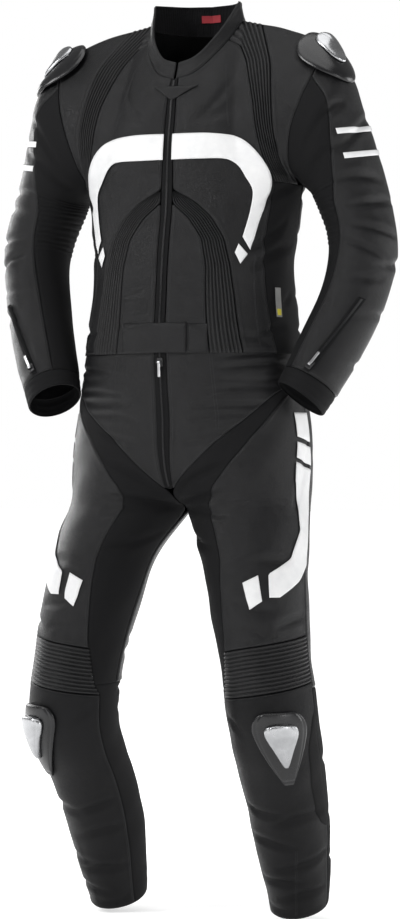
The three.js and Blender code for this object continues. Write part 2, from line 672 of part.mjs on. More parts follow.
function buildShoulders() {
  const { moulded, silver } = finishes;
  const cup = { half: 56, wide: 42, lift: 1, thick: 9, rim: 2.5 };
  addPair('shoulder_cup', shoulderPiece(cup), moulded);
  addPair('shoulder_plate', shoulderPiece({
    half: 36, wide: 20, lift: cup.lift + cup.thick + 2.4, thick: 6, rim: 2, shift: -10, columns: 4, rows: 6,
  }), silver);
}

// ---------------------------------------------------------------- zips with swinging pull tabs
const SLIDER = { long: 14, wide: 9.4, thick: 4, sunk: 1.1 };
const PIN = { radius: 0.7, height: 2.8, sides: 10 };
const CHEEK = { thick: 1.6, long: 5, apart: 5.4 };
const TAB = { eye: 2.2, hole: 1.15, thick: 1.5, long: 24, wide: 4.4 };

// Axes at a place on a form: along the zip, across it, and outward.
function zipFrame(form, u, v, lift, direction) {
  const { point, normal: outward } = forms[form];
  const e3 = outward(u, v);
  const e1 = direction.clone().addScaledVector(e3, -direction.dot(e3)).normalize();
  const e2 = new THREE.Vector3().crossVectors(e3, e1);
  const place = point(u, v).addScaledVector(e3, lift);
  return new THREE.Matrix4().makeBasis(e1, e2, e3).setPosition(place);
}

// The slider with its two cheeks and pin, on the tape.
function sliderGeometry(frame) {
  const box = (long, wide, thick, x, y, z) => new THREE.BoxGeometry(long, wide, thick).translate(x, y, z);
  const top = SLIDER.thick - SLIDER.sunk;
  const cheekHigh = PIN.height + 1.6;
  const side = CHEEK.apart / 2 + CHEEK.thick / 2;
  const parts = [
    box(SLIDER.long, SLIDER.wide, SLIDER.thick, 0, 0, top - SLIDER.thick / 2),
    ...[-side, side].map((y) => box(CHEEK.long, CHEEK.thick, cheekHigh + 0.2, 0, y, top + cheekHigh / 2 - 0.1)),
    new THREE.CylinderGeometry(PIN.radius, PIN.radius, CHEEK.apart + CHEEK.thick, PIN.sides)
      .translate(0, 0, top + PIN.height),
  ];
  return parts.map((part) => part.applyMatrix4(frame));
}

// The pull tab: an eye round the pin and a flat bar along the zip.
function tabGeometry(frame) {
  const eyeAngle = Math.asin(TAB.thick / 2 / TAB.eye);
  const outline = new THREE.Shape();
  outline.absarc(0, 0, TAB.eye, eyeAngle, 2 * Math.PI - eyeAngle, false);
  outline.lineTo(TAB.long, -TAB.thick / 2);
  outline.lineTo(TAB.long, TAB.thick / 2);
  outline.closePath();
  outline.holes.push(new THREE.Path().absarc(0, 0, TAB.hole, 0, 2 * Math.PI, true));
  const geometry = new THREE.ExtrudeGeometry(outline, { depth: TAB.wide, bevelEnabled: false, curveSegments: 10 });
  geometry.translate(0, 0, -TAB.wide / 2).rotateX(Math.PI / 2);
  geometry.translate(0, 0, SLIDER.thick - SLIDER.sunk + PIN.height);
  return geometry.applyMatrix4(frame);
}

const CUFF_ZIP = { from: -8.58, to: -7, low: 0.255, high: 0.36, halfShare: 0.017, slider: -8.47 };

function buildZips() {
  const { tape, silver } = finishes;
  const { from, to, low, high, halfShare, slider } = CUFF_ZIP;
  const strip = panel('sleeve', {
    from,
    to,
    left: [[from, low - halfShare], [to, high - halfShare]],
    right: [[from, low + halfShare], [to, high + halfShare]],
    columns: 2,
    steps: [-8.3, -8, -7.75, -7.5, -7.25],
    lift: LIFT,
    wall: PATCH,
  });
  const share = low + ((high - low) * (slider - from)) / (to - from);
  const upward = sleeve(share + 0.01, slider + 0.14).sub(sleeve(share, slider));
  const cuffFrame = zipFrame('sleeve', share, slider, LIFT + PATCH, upward);
  addPair('cuff_zip', union([strip, ...sliderGeometry(cuffFrame)]), tape);
  addPair('cuff_pull', tabGeometry(cuffFrame), silver);
  const flyFrame = zipFrame('trousers', 0, -519, -0.3, new THREE.Vector3(0, 0, -1));
  const flyTape = panel('trousers', { from: FLY_END, to: WAIST, left: -FLY_SHARE, right: FLY_SHARE, columns: 2 });
  add('fly_zip', union([flyTape, ...sliderGeometry(flyFrame)]), tape);
  add('fly_pull', tabGeometry(flyFrame), silver);
}

buildJacket();
buildNeck();
buildFrontPieces();
buildSleeves();
buildTrousers();
buildLowerLegs();
buildShoulders();
buildZips();

export default suit;
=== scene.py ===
"""Two-piece leather motorcycle race suit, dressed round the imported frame.

The front faces -Y, the wearer's left is +X, and the origin lies between the shoulders. Forms are worked
out in millimetres from short tables of sections; meshes are made from them in metres.
"""

from __future__ import annotations

import logging
import math
from dataclasses import dataclass, field
from enum import Enum
from typing import Callable, Sequence

import bpy
import numpy as np
from mathutils import Matrix, Vector

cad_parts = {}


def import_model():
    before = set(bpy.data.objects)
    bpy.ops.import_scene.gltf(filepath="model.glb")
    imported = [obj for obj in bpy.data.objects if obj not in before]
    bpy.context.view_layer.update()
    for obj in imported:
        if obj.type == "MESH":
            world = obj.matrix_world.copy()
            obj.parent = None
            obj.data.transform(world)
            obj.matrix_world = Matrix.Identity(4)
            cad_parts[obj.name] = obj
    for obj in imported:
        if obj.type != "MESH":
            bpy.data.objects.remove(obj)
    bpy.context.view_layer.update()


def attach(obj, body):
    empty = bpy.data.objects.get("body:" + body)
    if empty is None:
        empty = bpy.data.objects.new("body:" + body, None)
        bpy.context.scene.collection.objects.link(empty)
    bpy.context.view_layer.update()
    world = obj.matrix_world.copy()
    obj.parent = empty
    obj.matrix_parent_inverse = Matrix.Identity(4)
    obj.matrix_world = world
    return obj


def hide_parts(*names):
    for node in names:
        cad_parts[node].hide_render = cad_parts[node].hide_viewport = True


LOG = logging.getLogger("race_suit")
MM = 0.001
SIDES = ((1, "left"), (-1, "right"))

WALL = 1.6
SEAM = 0.4
LIFT = 1.3
PATCH = 1.2
ARMPIT = -226.0
YOKE_TOP = 14.0
NECK_SHARE = 0.45
JACKET_HEM = -505.0
WAIST = -492.0
HIP = -635.0
CROTCH = -750.0
ANKLE = -1408.0
ZIP_SHARE = 0.026
RIB_TOP = -240.0
CUFF_START = -8.6
CUFF_END = -9.0
FLY_SHARE = 0.013
FLY_END = -690.0
KNEE_TOP = -969.0
KNEE_RIBS_END = -1044.0
CALF_TOP = -1040.0
INSEAM_FRONT = 0.08
KNEE_TURN = 0.25 + 32 / 360
KNEE_RISE = 26.0

Array = np.ndarray
EdgeTable = Sequence[tuple[float, float]]


# --------------------------------------------------------------------------- forms
class Rings:
    """Sections of a tube, a row for each height, with a smooth value between them."""

    def __init__(self, columns: Sequence[str], rows: Sequence[Sequence[float]]) -> None:
        """Sorts the rows by height.

        Args:
            columns: Column names, the first of which is the height.
            rows: A row for each section.
        """
        data = np.array(sorted(rows), float)
        self.heights = data[:, 0]
        self.values = {name: data[:, i] for i, name in enumerate(columns)}

    def at(self, column: str, height: Array) -> Array:
        """Interpolates one column.

        Args:
            column: The column's name.
            height: Heights to read it at.

        Returns:
            The smooth values.
        """
        z, y = self.heights, self.values[column]
        last = len(z) - 1
        i = np.clip(np.searchsorted(z, height, side="right") - 1, 0, last - 1)
        before, after = np.maximum(i - 1, 0), np.minimum(i + 2, last)
        span = z[i + 1] - z[i]
        t = (height - z[i]) / span
        slope_a = (y[i + 1] - y[before]) / (z[i + 1] - z[before]) * span
        slope_b = (y[after] - y[i]) / (z[after] - z[i]) * span
        t2, t3 = t * t, t * t * t
        return (
            y[i] * (2 * t3 - 3 * t2 + 1)
            + slope_a * (t3 - 2 * t2 + t)
            + y[i + 1] * (3 * t2 - 2 * t3)
            + slope_b * (t3 - t2)
        )


class Path:
    """A smooth line through a few points."""

    def __init__(self, points: Sequence[Sequence[float]]) -> None:
        """Keeps the points with one more past each end.

        Args:
            points: Two or more places.
        """
        p = np.array(points, float)
        self.points = np.vstack([2 * p[0] - p[1], p, 2 * p[-1] - p[-2]])
        self.spans = len(points) - 1

    def at(self, t: Array) -> Array:
        """Returns the points at shares of the line from 0 to 1.

        Args:
            t: Shares.

        Returns:
            Places on the line.
        """
        s = np.clip(t, 0, 1) * self.spans
        i = np.minimum(s.astype(int), self.spans - 1)
        w = (s - i)[..., None]
        a, b, c, d = (self.points[i + k] for k in range(4))
        start, end = (c - a) / 2, (d - b) / 2
        return (2 * b - 2 * c + start + end) * w**3 + (3 * c - 3 * b - 2 * start - end) * w**2 + start * w + b


def powered(value: Array, power: float = 0.9) -> Array:
    """Squares a ring a little: returns the value to the power, with its sign."""
    return np.sign(value) * np.abs(value) ** power


def open_ring(rings: Rings, u: Array, z: Array) -> Array:
    """A half ring from the centre front (u = 0) by the side (1) to the centre back (2).

    Args:
        rings: Sections with half width, front and back depth.
        u: Place round the ring.
        z: Height.

    Returns:
        Points on the ring.
    """
    half, front, back = (rings.at(name, z) for name in ("half", "front", "back"))
    middle, depth = (front + back) / 2, (back - front) / 2
    turn = u * math.pi / 2
    return np.stack([half * powered(np.sin(turn)), middle - depth * powered(np.cos(turn)), z + 0 * turn], -1)


def coons(edges: Sequence[Callable[[Array], Array]], u: Array, w: Array, power: float = 1) -> Array:
    """A patch between four edges.

    Args:
        edges: Bottom, top, left and right edge, each a function of its share.
        u: Share across.
        w: Share up.
        power: How fast the side edges' bulge fades.

    Returns:
        Points on the patch.
    """
    bottom, top, left, right = edges
    zero, one = np.zeros_like(u), np.ones_like(u)
    up = w[..., None]
    point = bottom(u) * (1 - up) + top(u) * up
    for edge, fade, end in ((left, (1 - u) ** power, zero), (right, u**power, one)):
        point = point + fade[..., None] * (edge(w) - bottom(end) * (1 - up) - top(end) * up)
    return point


def mirror(points: Array, flip: Array) -> Array:
    """Returns the points with X turned round where flip is true.

    Args:
        points: Places.
        flip: Where X is turned round.

    Returns:
        The new points.
    """
    points = points.copy()
    points[..., 0] *= np.where(flip, -1, 1)
    return points


class Form:
    """A surface over (u, v), softened along v where two of its zones meet."""

    reach: float = 0.0
    low: float = 0.0
    high: float = 1.0
    steps: tuple[float, float] = (1e-3, 0.5)

    def raw(self, u: Array, v: Array) -> Array:
        """Returns points of the form before it is softened."""
        raise NotImplementedError

    def point(self, u: Array, v: Array) -> Array:
        """Returns points of the softened form.

        Args:
            u: Places across.
            v: Places along.

        Returns:
            Places (…, 3).
        """
        u, v = np.broadcast_arrays(np.asarray(u, float), np.asarray(v, float))
        if not self.reach:
            return self.raw(u, v)
        room = np.minimum(1, np.minimum(v - self.low, self.high - v).clip(0) / self.reach)
        total = np.zeros(u.shape + (3,))
        for offset, weight in ((-1, 1), (-0.5, 4), (0, 6), (0.5, 4), (1, 1)):
            total += weight * self.raw(u, v + offset * self.reach * room)
        return total / 16

    def normal(self, u: Array, v: Array) -> Array:
        """Returns outward unit vectors.

        Args:
            u: Places across.
            v: Places along.

        Returns:
            Vectors (…, 3).
        """
        du, dv = self.steps
        across = self.point(u + du, v) - self.point(u - du, v)
        up = self.point(u, v + dv) - self.point(u, v - dv)
        n = np.cross(across, up)
        return n / np.maximum(np.linalg.norm(n, axis=-1, keepdims=True), 1e-9)


class JacketForm(Form):
    """Jacket body: u as in open_ring, below 0 and above 2 on the wearer's right."""

    reach = 34.0
    low = JACKET_HEM
    high = YOKE_TOP
    rings = Rings(
        ("z", "half", "front", "back"),
        [
            (-505, 184, -145, 129),
            (-455, 175, -144, 126),
            (-363, 169, -134, 118),
            (-295, 176, -124, 118),
            (-226, 186, -114, 114),
        ],
    )
    shoulder_point = (238, -2, -2)
    neck_side = (84, 4, 44)
    centre_front = Path([(0, -114, -226), (0, -110, -170), (0, -101, -112), (0, -87, -57)])
    centre_back = Path([(0, 114, -226), (0, 124, -155), (0, 120, -75), (0, 102, -15), (0, 74, 40)])
    armhole_front = Path(
        [(186, 0, -226), (187, -50, -203), (199, -77, -150), (216, -72, -98), (231, -44, -46), shoulder_point]
    )
    armhole_back = Path(
        [(186, 0, -226), (187, 52, -203), (198, 82, -150), (214, 78, -95), (230, 48, -42), shoulder_point]
    )
    neck_front = Path([(0, -87, -57), (36, -77, -44), (66, -44, -4), neck_side])
    neck_back = Path([(0, 74, 40), (44, 62, 41), (74, 34, 43), neck_side])
    shoulder_seam = Path([neck_side, (160, 1, 27), shoulder_point])

    def yoke_edge(self, neck: Path) -> Callable[[Array], Array]:
        """Returns the yoke's top edge: the neckline, then the shoulder seam.

        Args:
            neck: The neckline's half.

        Returns:
            A function of the share along the edge.
        """

        def edge(u: Array) -> Array:
            """Returns points of the edge at shares from the front to the shoulder.

            Args:
                u: Shares along it.

            Returns:
                Places (…, 3).
            """
            on_neck = neck.at(u / NECK_SHARE)
            on_seam = self.shoulder_seam.at((u - NECK_SHARE) / (1 - NECK_SHARE))
            return np.where((u < NECK_SHARE)[..., None], on_neck, on_seam)

        return edge

    def raw(self, u: Array, v: Array) -> Array:
        """Returns points of the lower rings and of the yoke above them.

        Args:
            u: Places across.
            v: Places along.

        Returns:
            Places (…, 3).
        """
        flip = (u < 0) | (u > 2)
        t = np.where(u < 0, -u, np.where(u > 2, 4 - u, u))
        ring = open_ring(self.rings, t, np.minimum(v, ARMPIT))
        w = np.clip((v - ARMPIT) / (YOKE_TOP - ARMPIT), 0, 1)
        armpit = np.full_like(w, ARMPIT)
        front = coons(
            (
                lambda s: open_ring(self.rings, s, armpit),
                self.yoke_edge(self.neck_front),
                self.centre_front.at,
                self.armhole_front.at,
            ),
            np.minimum(t, 1),
            w,
        )
        back = coons(
            (
                lambda s: open_ring(self.rings, 2 - s, armpit),
                self.yoke_edge(self.neck_back),
                self.centre_back.at,
                self.armhole_back.at,
            ),
            np.minimum(2 - t, 1),
            w,
        )
        high = np.where((t <= 1)[..., None], front, back)
        return mirror(np.where((v <= ARMPIT)[..., None], ring, high), flip)


class SleeveForm(Form):
    """Sleeve: u is 0 at the inner arm, 0.25 in front, 0.5 outside; v falls from 0 at the armhole."""

    steps = (1e-3, 0.01)
    low = CUFF_END
    high = 0.0
    rows = (
        ((268, 4, -50), (192, 2, -231), 80),
        ((290, 8, -110), (200, 5, -237), 76),
        ((312, 11, -178), (208, 9, -246), 71),
        ((334, 12, -250), (216, 12, -266), 65),
        ((348, 8, -312), (234, 8, -312), 60),
        ((347, 0, -365), (239, 0, -355), 57),
        ((333, -18, -435), (228, -16, -414), 54),
        ((304, -46, -515), (206, -46, -482), 50),
        ((258, -82, -602), (180, -82, -556), 45),
    )

    def __init__(self, jacket: JacketForm) -> None:
        """Works out each ring's centre and its two half axes.

        Args:
            jacket: The form it meets.
        """
        self.jacket = jacket
        outer = np.array([r[0] for r in self.rows], float)
        inner = np.array([r[1] for r in self.rows], float)
        self.centres = (outer + inner) / 2
        self.across = (outer - inner) / 2
        last = len(self.rows) - 1
        forward = []
        for i, (_, _, deep) in enumerate(self.rows):
            along = self.centres[min(i + 1, last)] - self.centres[max(i - 1, 0)]
            side = np.cross(self.across[i], along)
            side *= deep / np.linalg.norm(side)
            forward.append(-side if side[1] > 0 else side)
        self.forward = np.array(forward)

    def armhole(self, u: Array) -> Array:
        """Returns points of the armhole, from the armpit up the front and down the back.

        Args:
            u: Shares round it.

        Returns:
            Places (…, 3).
        """
        t = u - np.floor(u)
        front = self.jacket.armhole_front.at(2 * t)
        back = self.jacket.armhole_back.at(2 - 2 * t)
        return np.where((t < 0.5)[..., None], front, back)

    def row(self, index: Array, u: Array) -> Array:
        """Returns points of a ring; row 0 is the armhole.

        Args:
            index: The ring's number.
            u: Shares round it.

        Returns:
            Places (…, 3).
        """
        i = np.clip(index - 1, 0, len(self.rows) - 1)
        turn = (u * 2 * math.pi)[..., None]
        ring = self.centres[i] - self.across[i] * np.cos(turn) + self.forward[i] * np.sin(turn)
        return np.where((index <= 0)[..., None], self.armhole(u), ring)

    def raw(self, u: Array, v: Array) -> Array:
        """Returns points lofted through the rings.

        Args:
            u: Places across.
            v: Places along.

        Returns:
            Places (…, 3).
        """
        at = np.clip(-v, 0, -CUFF_END)
        i = np.minimum(at.astype(int), int(-CUFF_END) - 1)
        t = (at - i)[..., None]
        a, b, c, d = (self.row(i + k, u) for k in (-1, 0, 1, 2))
        t2, t3 = t * t, t * t * t
        return 0.5 * (
            a * (2 * t2 - t3 - t) + b * (3 * t3 - 5 * t2 + 2) + c * (4 * t2 - 3 * t3 + t) + d * (t3 - t2)
        )


class TrouserForm(Form):
    """Wearer's left half: u is 0 at the front rise and inseam, 0.5 at the side, 1 at the back rise."""

    reach = 30.0
    low = ANKLE
    high = WAIST
    hips = Rings(
        ("z", "half", "front", "back"),
        [
            (-492, 178.8, -142, 125.4), (-520, 183.6, -142, 125), (-577, 194, -137, 119),
            (-635, 205, -131, 110),
        ],
    )
    legs = Rings(
        ("z", "x", "y", "across", "deep", "tilt"),
        [
            (-750, 103, -22, 102.5, 100, 0),
            (-790, 119, -46, 94, 96, 0),
            (-835, 134, -66, 86, 90, 0),
            (-900, 148, -84, 81, 84, 0),
            (-973, 161, -94, 75, 79, 0),
            (-1040, 172, -98, 73, 76, 0.05),
            (-1099, 178, -94, 73, 76, 0.1),
            (-1150, 177, -70, 70, 74, 0.15),
            (-1193, 173, -38, 68, 72, 0.2),
            (-1256, 169, -2, 64, 68, 0.25),
            (-1345, 166, 32, 55, 60, 0.3),
            (-1408, 164, 50, 47, 51, 0.35),
        ],
    )
    rise_front = Path([(0, -131, -635), (0, -125, -688), (0, -103, -730), (0, -64, -749), (0.5, -22, -750)])
    rise_back = Path([(0, 110, -635), (0, 102, -690), (0, 72, -734), (0, 28, -749), (0.5, -22, -750)])

    def leg_ring(self, u: Array, z: Array) -> Array:
        """Returns points of a leg's closed ring, which climbs to the back.

        Args:
            u: Shares round it.
            z: Height.

        Returns:
            Places (…, 3).
        """
        x, y, across, deep, tilt = (self.legs.at(n, z) for n in ("x", "y", "across", "deep", "tilt"))
        turn = u * 2 * math.pi
        back = -deep * np.sin(turn)
        return np.stack([x - across * np.cos(turn), y + back, z + tilt * back], -1)

    def raw(self, u: Array, v: Array) -> Array:
        """Returns points of the hips, of the seat's patch and of the leg.

        Args:
            u: Places across.
            v: Places along.

        Returns:
            Places (…, 3).
        """
        flip = (u < 0) & (v > CROTCH)
        t = np.where(flip, -u, u)
        w = np.clip((v - CROTCH) / (HIP - CROTCH), 0, 1)
        crotch, hip = np.full_like(w, CROTCH), np.full_like(w, HIP)
        hips = open_ring(self.hips, 2 * t, np.maximum(v, HIP))
        leg = self.leg_ring(t, np.minimum(v, CROTCH))
        seat = coons(
            (
                lambda s: self.leg_ring(s, crotch),
                lambda s: open_ring(self.hips, 2 * s, hip),
                lambda s: self.rise_front.at(1 - s),
                lambda s: self.rise_back.at(1 - s),
            ),
            np.clip(t, 0, 1),
            w,
            3,
        )
        high = np.where((v >= HIP)[..., None], hips, seat)
        return mirror(np.where((v <= CROTCH)[..., None], leg, high), flip)


class CollarForm(Form):
    """Collar: u runs once round from 0 at the centre front, and v is the share of its height."""

    steps = (1e-3, 0.01)
    front_high = 27.0
    back_high = 38.0
    lean = 0.08
    forward = 2.5

    def __init__(self, jacket: JacketForm) -> None:
        """Stands the collar on the jacket's neckline."""
        self.jacket = jacket

    def raw(self, u: Array, v: Array) -> Array:
        """Returns points of the collar.

        Args:
            u: Places across.
            v: Places along.

        Returns:
            Places (…, 3).
        """
        flip = u > 1
        a = np.where(flip, 2 - u, u)
        front = self.jacket.neck_front.at(2 * a)
        back = self.jacket.neck_back.at(2 - 2 * a)
        base = np.where((a < 0.5)[..., None], front, back)
        share = (1 - np.cos(a * math.pi)) / 2
        high = self.front_high + (self.back_high - self.front_high) * share
        shrink = 1 - self.lean * v
        y = base[..., 1] * shrink + (1 - share) * self.forward * v
        return mirror(np.stack([base[..., 0] * shrink, y, base[..., 2] + 0.8 + high * v], -1), flip)


@dataclass(frozen=True)
class Forms:
    """The suit's four forms, shared by every piece."""

    jacket: JacketForm
    sleeve: SleeveForm
    trousers: TrouserForm
    collar: CollarForm


# --------------------------------------------------------------------------- relief of the cloth
@dataclass(frozen=True)
class Crease:
    """A soft fold from one place on a form to another. Depth is below 0 for a trough."""

    form: str
    start: tuple[float, float]
    end: tuple[float, float]
    bow: float
    width: float
    depth: float


# Each fold: where it starts and ends as u and v, its bow, width and depth.
FOLDS: dict[str, tuple[tuple[float, ...], ...]] = {
    "jacket": (
        # jacket front and side
        (0.93, -232, 0.6, -268, 8, 9, -4.2), (0.96, -205, 0.72, -196, -6, 7, -3.0),
        (0.95, -176, 0.62, -142, 5, 8, -2.6), (0.5, -128, 0.18, -102, 6, 11, -1.9),
        (0.42, -70, 0.12, -96, -5, 9, -1.6), (0.9, -286, 0.52, -336, -9, 10, -3.4),
        (1.02, -330, 0.58, -372, 10, 11, -4.0), (1.02, -404, 0.9, -420, -7, 9, -2.4),
        (0.92, -462, 0.6, -478, 5, 8, -3.0), (0.3, -470, 0.05, -452, 4, 8, -2.2),
        (0.26, -404, 0.06, -388, -4, 9, -1.8), (0.7, -486, 0.42, -478, 3, 7, -2.0),
        # jacket back
        (1.06, -208, 1.52, -176, -10, 12, -4.2), (1.05, -246, 1.6, -262, 8, 11, -3.6),
        (1.1, -300, 1.72, -330, -12, 13, -3.8), (1.24, -366, 1.94, -352, 7, 12, -3.2),
        (1.12, -402, 1.66, -430, -8, 10, -4.0), (1.4, -462, 1.96, -448, 6, 10, -3.2),
        (1.1, -470, 1.36, -458, 4, 8, -2.8), (1.3, -120, 1.72, -84, 9, 13, -2.6),
    ),
    "sleeve": (
        # sleeves
        (0.16, -0.8, 0.4, -1.7, 0.03, 10, -4.6), (0.08, -1.7, 0.36, -2.5, -0.02, 10, -4.2),
        (0.3, -2.6, 0.58, -2.1, 0.02, 9, -3.0), (0.2, -3.3, 0.5, -3.7, 0.03, 9, -3.8),
        (0.26, -4.3, 0.58, -4.1, -0.03, 8, -3.6), (0.24, -4.9, 0.54, -5.1, 0.02, 8, -4.4),
        (0.22, -5.5, 0.5, -6.0, -0.02, 8, -3.8), (0.36, -6.2, 0.62, -5.7, 0.03, 9, -3.2),
        (0.2, -6.7, 0.46, -6.4, 0.02, 8, -3.0), (0.34, -7.4, 0.6, -7.0, -0.02, 8, -3.2),
        (0.44, -8.2, 0.66, -7.9, 0.02, 7, -2.6), (0.58, -1.2, 0.86, -1.9, 0.02, 11, -4.0),
        (0.62, -3.0, 0.9, -2.6, -0.02, 10, -3.6), (0.6, -4.6, 0.84, -5.2, 0.02, 11, -3.0),
        (0.66, -6.6, 0.92, -6.2, 0.02, 9, -3.2), (0.64, -7.8, 0.88, -7.5, -0.02, 8, -2.6),
    ),
    "trousers": (
        # hips and seat
        (0.1, -566, 0.38, -560, 4, 8, -2.8), (0.07, -588, 0.33, -584, -4, 8, -3.2),
        (0.06, -612, 0.24, -603, 4, 8, -3.0), (0.05, -640, 0.2, -624, -3, 8, -2.6),
        (0.15, -512, 0.44, -507, 3, 7, -2.2), (0.15, -530, 0.47, -524, 4, 7, -3.0),
        (0.16, -548, 0.42, -544, -3, 7, -2.6), (0.04, -700, 0.2, -668, 5, 8, -3.6),
        (0.04, -724, 0.24, -716, -5, 9, -4.0), (0.04, -752, 0.26, -768, 6, 9, -3.8),
        (0.03, -790, 0.2, -818, -6, 10, -3.6), (0.22, -850, 0.44, -838, 6, 12, -3.2),
        (0.2, -896, 0.38, -916, -6, 11, -2.8), (0.36, -944, 0.5, -928, 4, 9, -3.0),
        (0.24, -944, 0.33, -955, 3, 8, -2.0), (0.5, -640, 0.44, -760, 5, 12, -2.6),
        (0.62, -560, 0.96, -590, 7, 12, -3.4), (0.56, -660, 0.92, -704, -9, 13, -4.2),
        (0.6, -740, 0.96, -742, 9, 11, -5.0), (0.58, -790, 0.94, -772, -7, 11, -4.0),
        (0.56, -862, 0.9, -848, 6, 13, -3.2), (0.58, -950, 0.96, -962, 6, 11, -4.4),
        (0.56, -1000, 0.98, -994, -6, 10, -5.2), (0.55, -1038, 0.99, -1052, 6, 10, -5.0),
        (0.6, -1090, 0.96, -1080, -5, 11, -4.0),
        # lower legs
        (0.1, -1082, 0.2, -1112, 5, 8, -3.0), (0.1, -1216, 0.3, -1232, -5, 9, -3.4),
        (0.24, -1250, 0.48, -1240, 6, 10, -3.0), (0.09, -1272, 0.34, -1292, 5, 9, -3.6),
        (0.22, -1322, 0.5, -1306, -5, 9, -3.4), (0.09, -1346, 0.36, -1350, 4, 8, -3.8),
        (0.2, -1376, 0.48, -1368, 4, 8, -3.0), (0.1, -1390, 0.3, -1394, -3, 7, -2.4),
        (0.52, -1160, 0.86, -1184, 6, 12, -2.8), (0.54, -1254, 0.92, -1240, -6, 11, -3.0),
        (0.52, -1330, 0.9, -1346, 5, 9, -3.8), (0.56, -1372, 0.94, -1380, -4, 8, -3.2),
    ),
}
CREASES = tuple(
    Crease(form, row[:2], row[2:4], *row[4:]) for form, rows in FOLDS.items() for row in rows
)


class Relief:
    """How far the cloth stands off its form anywhere in space, the same for pieces that meet."""

    samples = 11
    waves = (
        ((0.031, 0.012, 0.022), 0.4, 0.9),
        ((-0.018, 0.035, 0.041), 1.9, 0.8),
        ((0.052, -0.027, 0.036), 4.1, 0.55),
        ((0.022, 0.061, -0.058), 2.7, 0.45),
        ((-0.088, 0.047, 0.071), 5.3, 0.3),
        ((0.11, 0.083, -0.097), 0.9, 0.22),
    )

    def __init__(self, forms: Forms) -> None:
        """Lays each fold out in space on both sides of the suit, the right one a little different.

        Args:
            forms: The suit's forms.
        """
        self.folds: list[tuple[Array, float, float]] = []
        share = np.linspace(0, 1, self.samples)
        for index, fold in enumerate(CREASES):
            form: Form = getattr(forms, fold.form)
            arch = fold.bow * np.sin(share * math.pi)
            bend_u, bend_v = (arch, 0) if fold.form == "sleeve" else (0, arch)
            for side in (1, -1):
                drift = 0.0 if side == 1 else math.sin(index * 2.4)
                unit = 0.12 if fold.form == "sleeve" else 7.0
                u = fold.start[0] + (fold.end[0] - fold.start[0]) * share + bend_u
                v = fold.start[1] + (fold.end[1] - fold.start[1]) * share + bend_v + drift * unit
                line = form.point(u, v) * (side, 1, 1)
                width = fold.width * (1 + 0.15 * drift)
                depth = 1.4 * fold.depth * (1 if side == 1 else 0.85 + 0.2 * math.cos(index * 1.7))
                self.folds.append((line, width, depth))
        turn = np.linspace(0, 1, 80)
        armhole = forms.sleeve.armhole(turn)
        self.armholes = np.vstack([armhole, armhole * (-1, 1, 1)])

    @staticmethod
    def to_line(points: Array, line: Array) -> tuple[Array, Array]:
        """Returns each point's distance to a line of points, and the nearest place's share of it.

        Args:
            points: Places.
            line: The line's points.

        Returns:
            Distances and shares.
        """
        best = np.full(len(points), 1e9)
        place = np.zeros(len(points))
        spans = len(line) - 1
        for i in range(spans):
            a, b = line[i], line[i + 1]
            d = b - a
            t = np.clip((points - a) @ d / max(d @ d, 1e-9), 0, 1)
            gap = np.linalg.norm(points - a - t[:, None] * d, axis=1)
            nearer = gap < best
            best = np.where(nearer, gap, best)
            place = np.where(nearer, (i + t) / spans, place)
        return best, place

    def at(self, points: Array) -> Array:
        """Returns the offset in millimetres at points of any shape (…, 3).

        Args:
            points: Places.

        Returns:
            Offsets (…).
        """
        flat = points.reshape(-1, 3)
        total = np.zeros(len(flat))
        for wave, phase, size in self.waves:
            total += size * np.sin(flat @ np.array(wave) + phase)
        total *= 0.75
        for line, width, depth in self.folds:
            reach = 3 * width
            low, high = line.min(0) - reach, line.max(0) + reach
            near = np.flatnonzero(((flat > low) & (flat < high)).all(1))
            if not len(near):
                continue
            gap, share = self.to_line(flat[near], line)
            taper = np.sin(np.clip(share, 0, 1) * math.pi) ** 0.7
            slim = width * (0.7 + 0.3 * taper)
            x = (gap / slim) ** 2
            total[near] += depth * taper * (1 - 0.9 * x) * np.exp(-x)
        near = np.flatnonzero((np.abs(flat[:, 0]) > 150) & (flat[:, 2] > -270))
        if len(near):
            gap = np.linalg.norm(flat[near, None] - self.armholes[None], axis=2).min(1)
            total[near] *= np.clip(gap / 24, 0, 1)
        return total.reshape(points.shape[:-1])


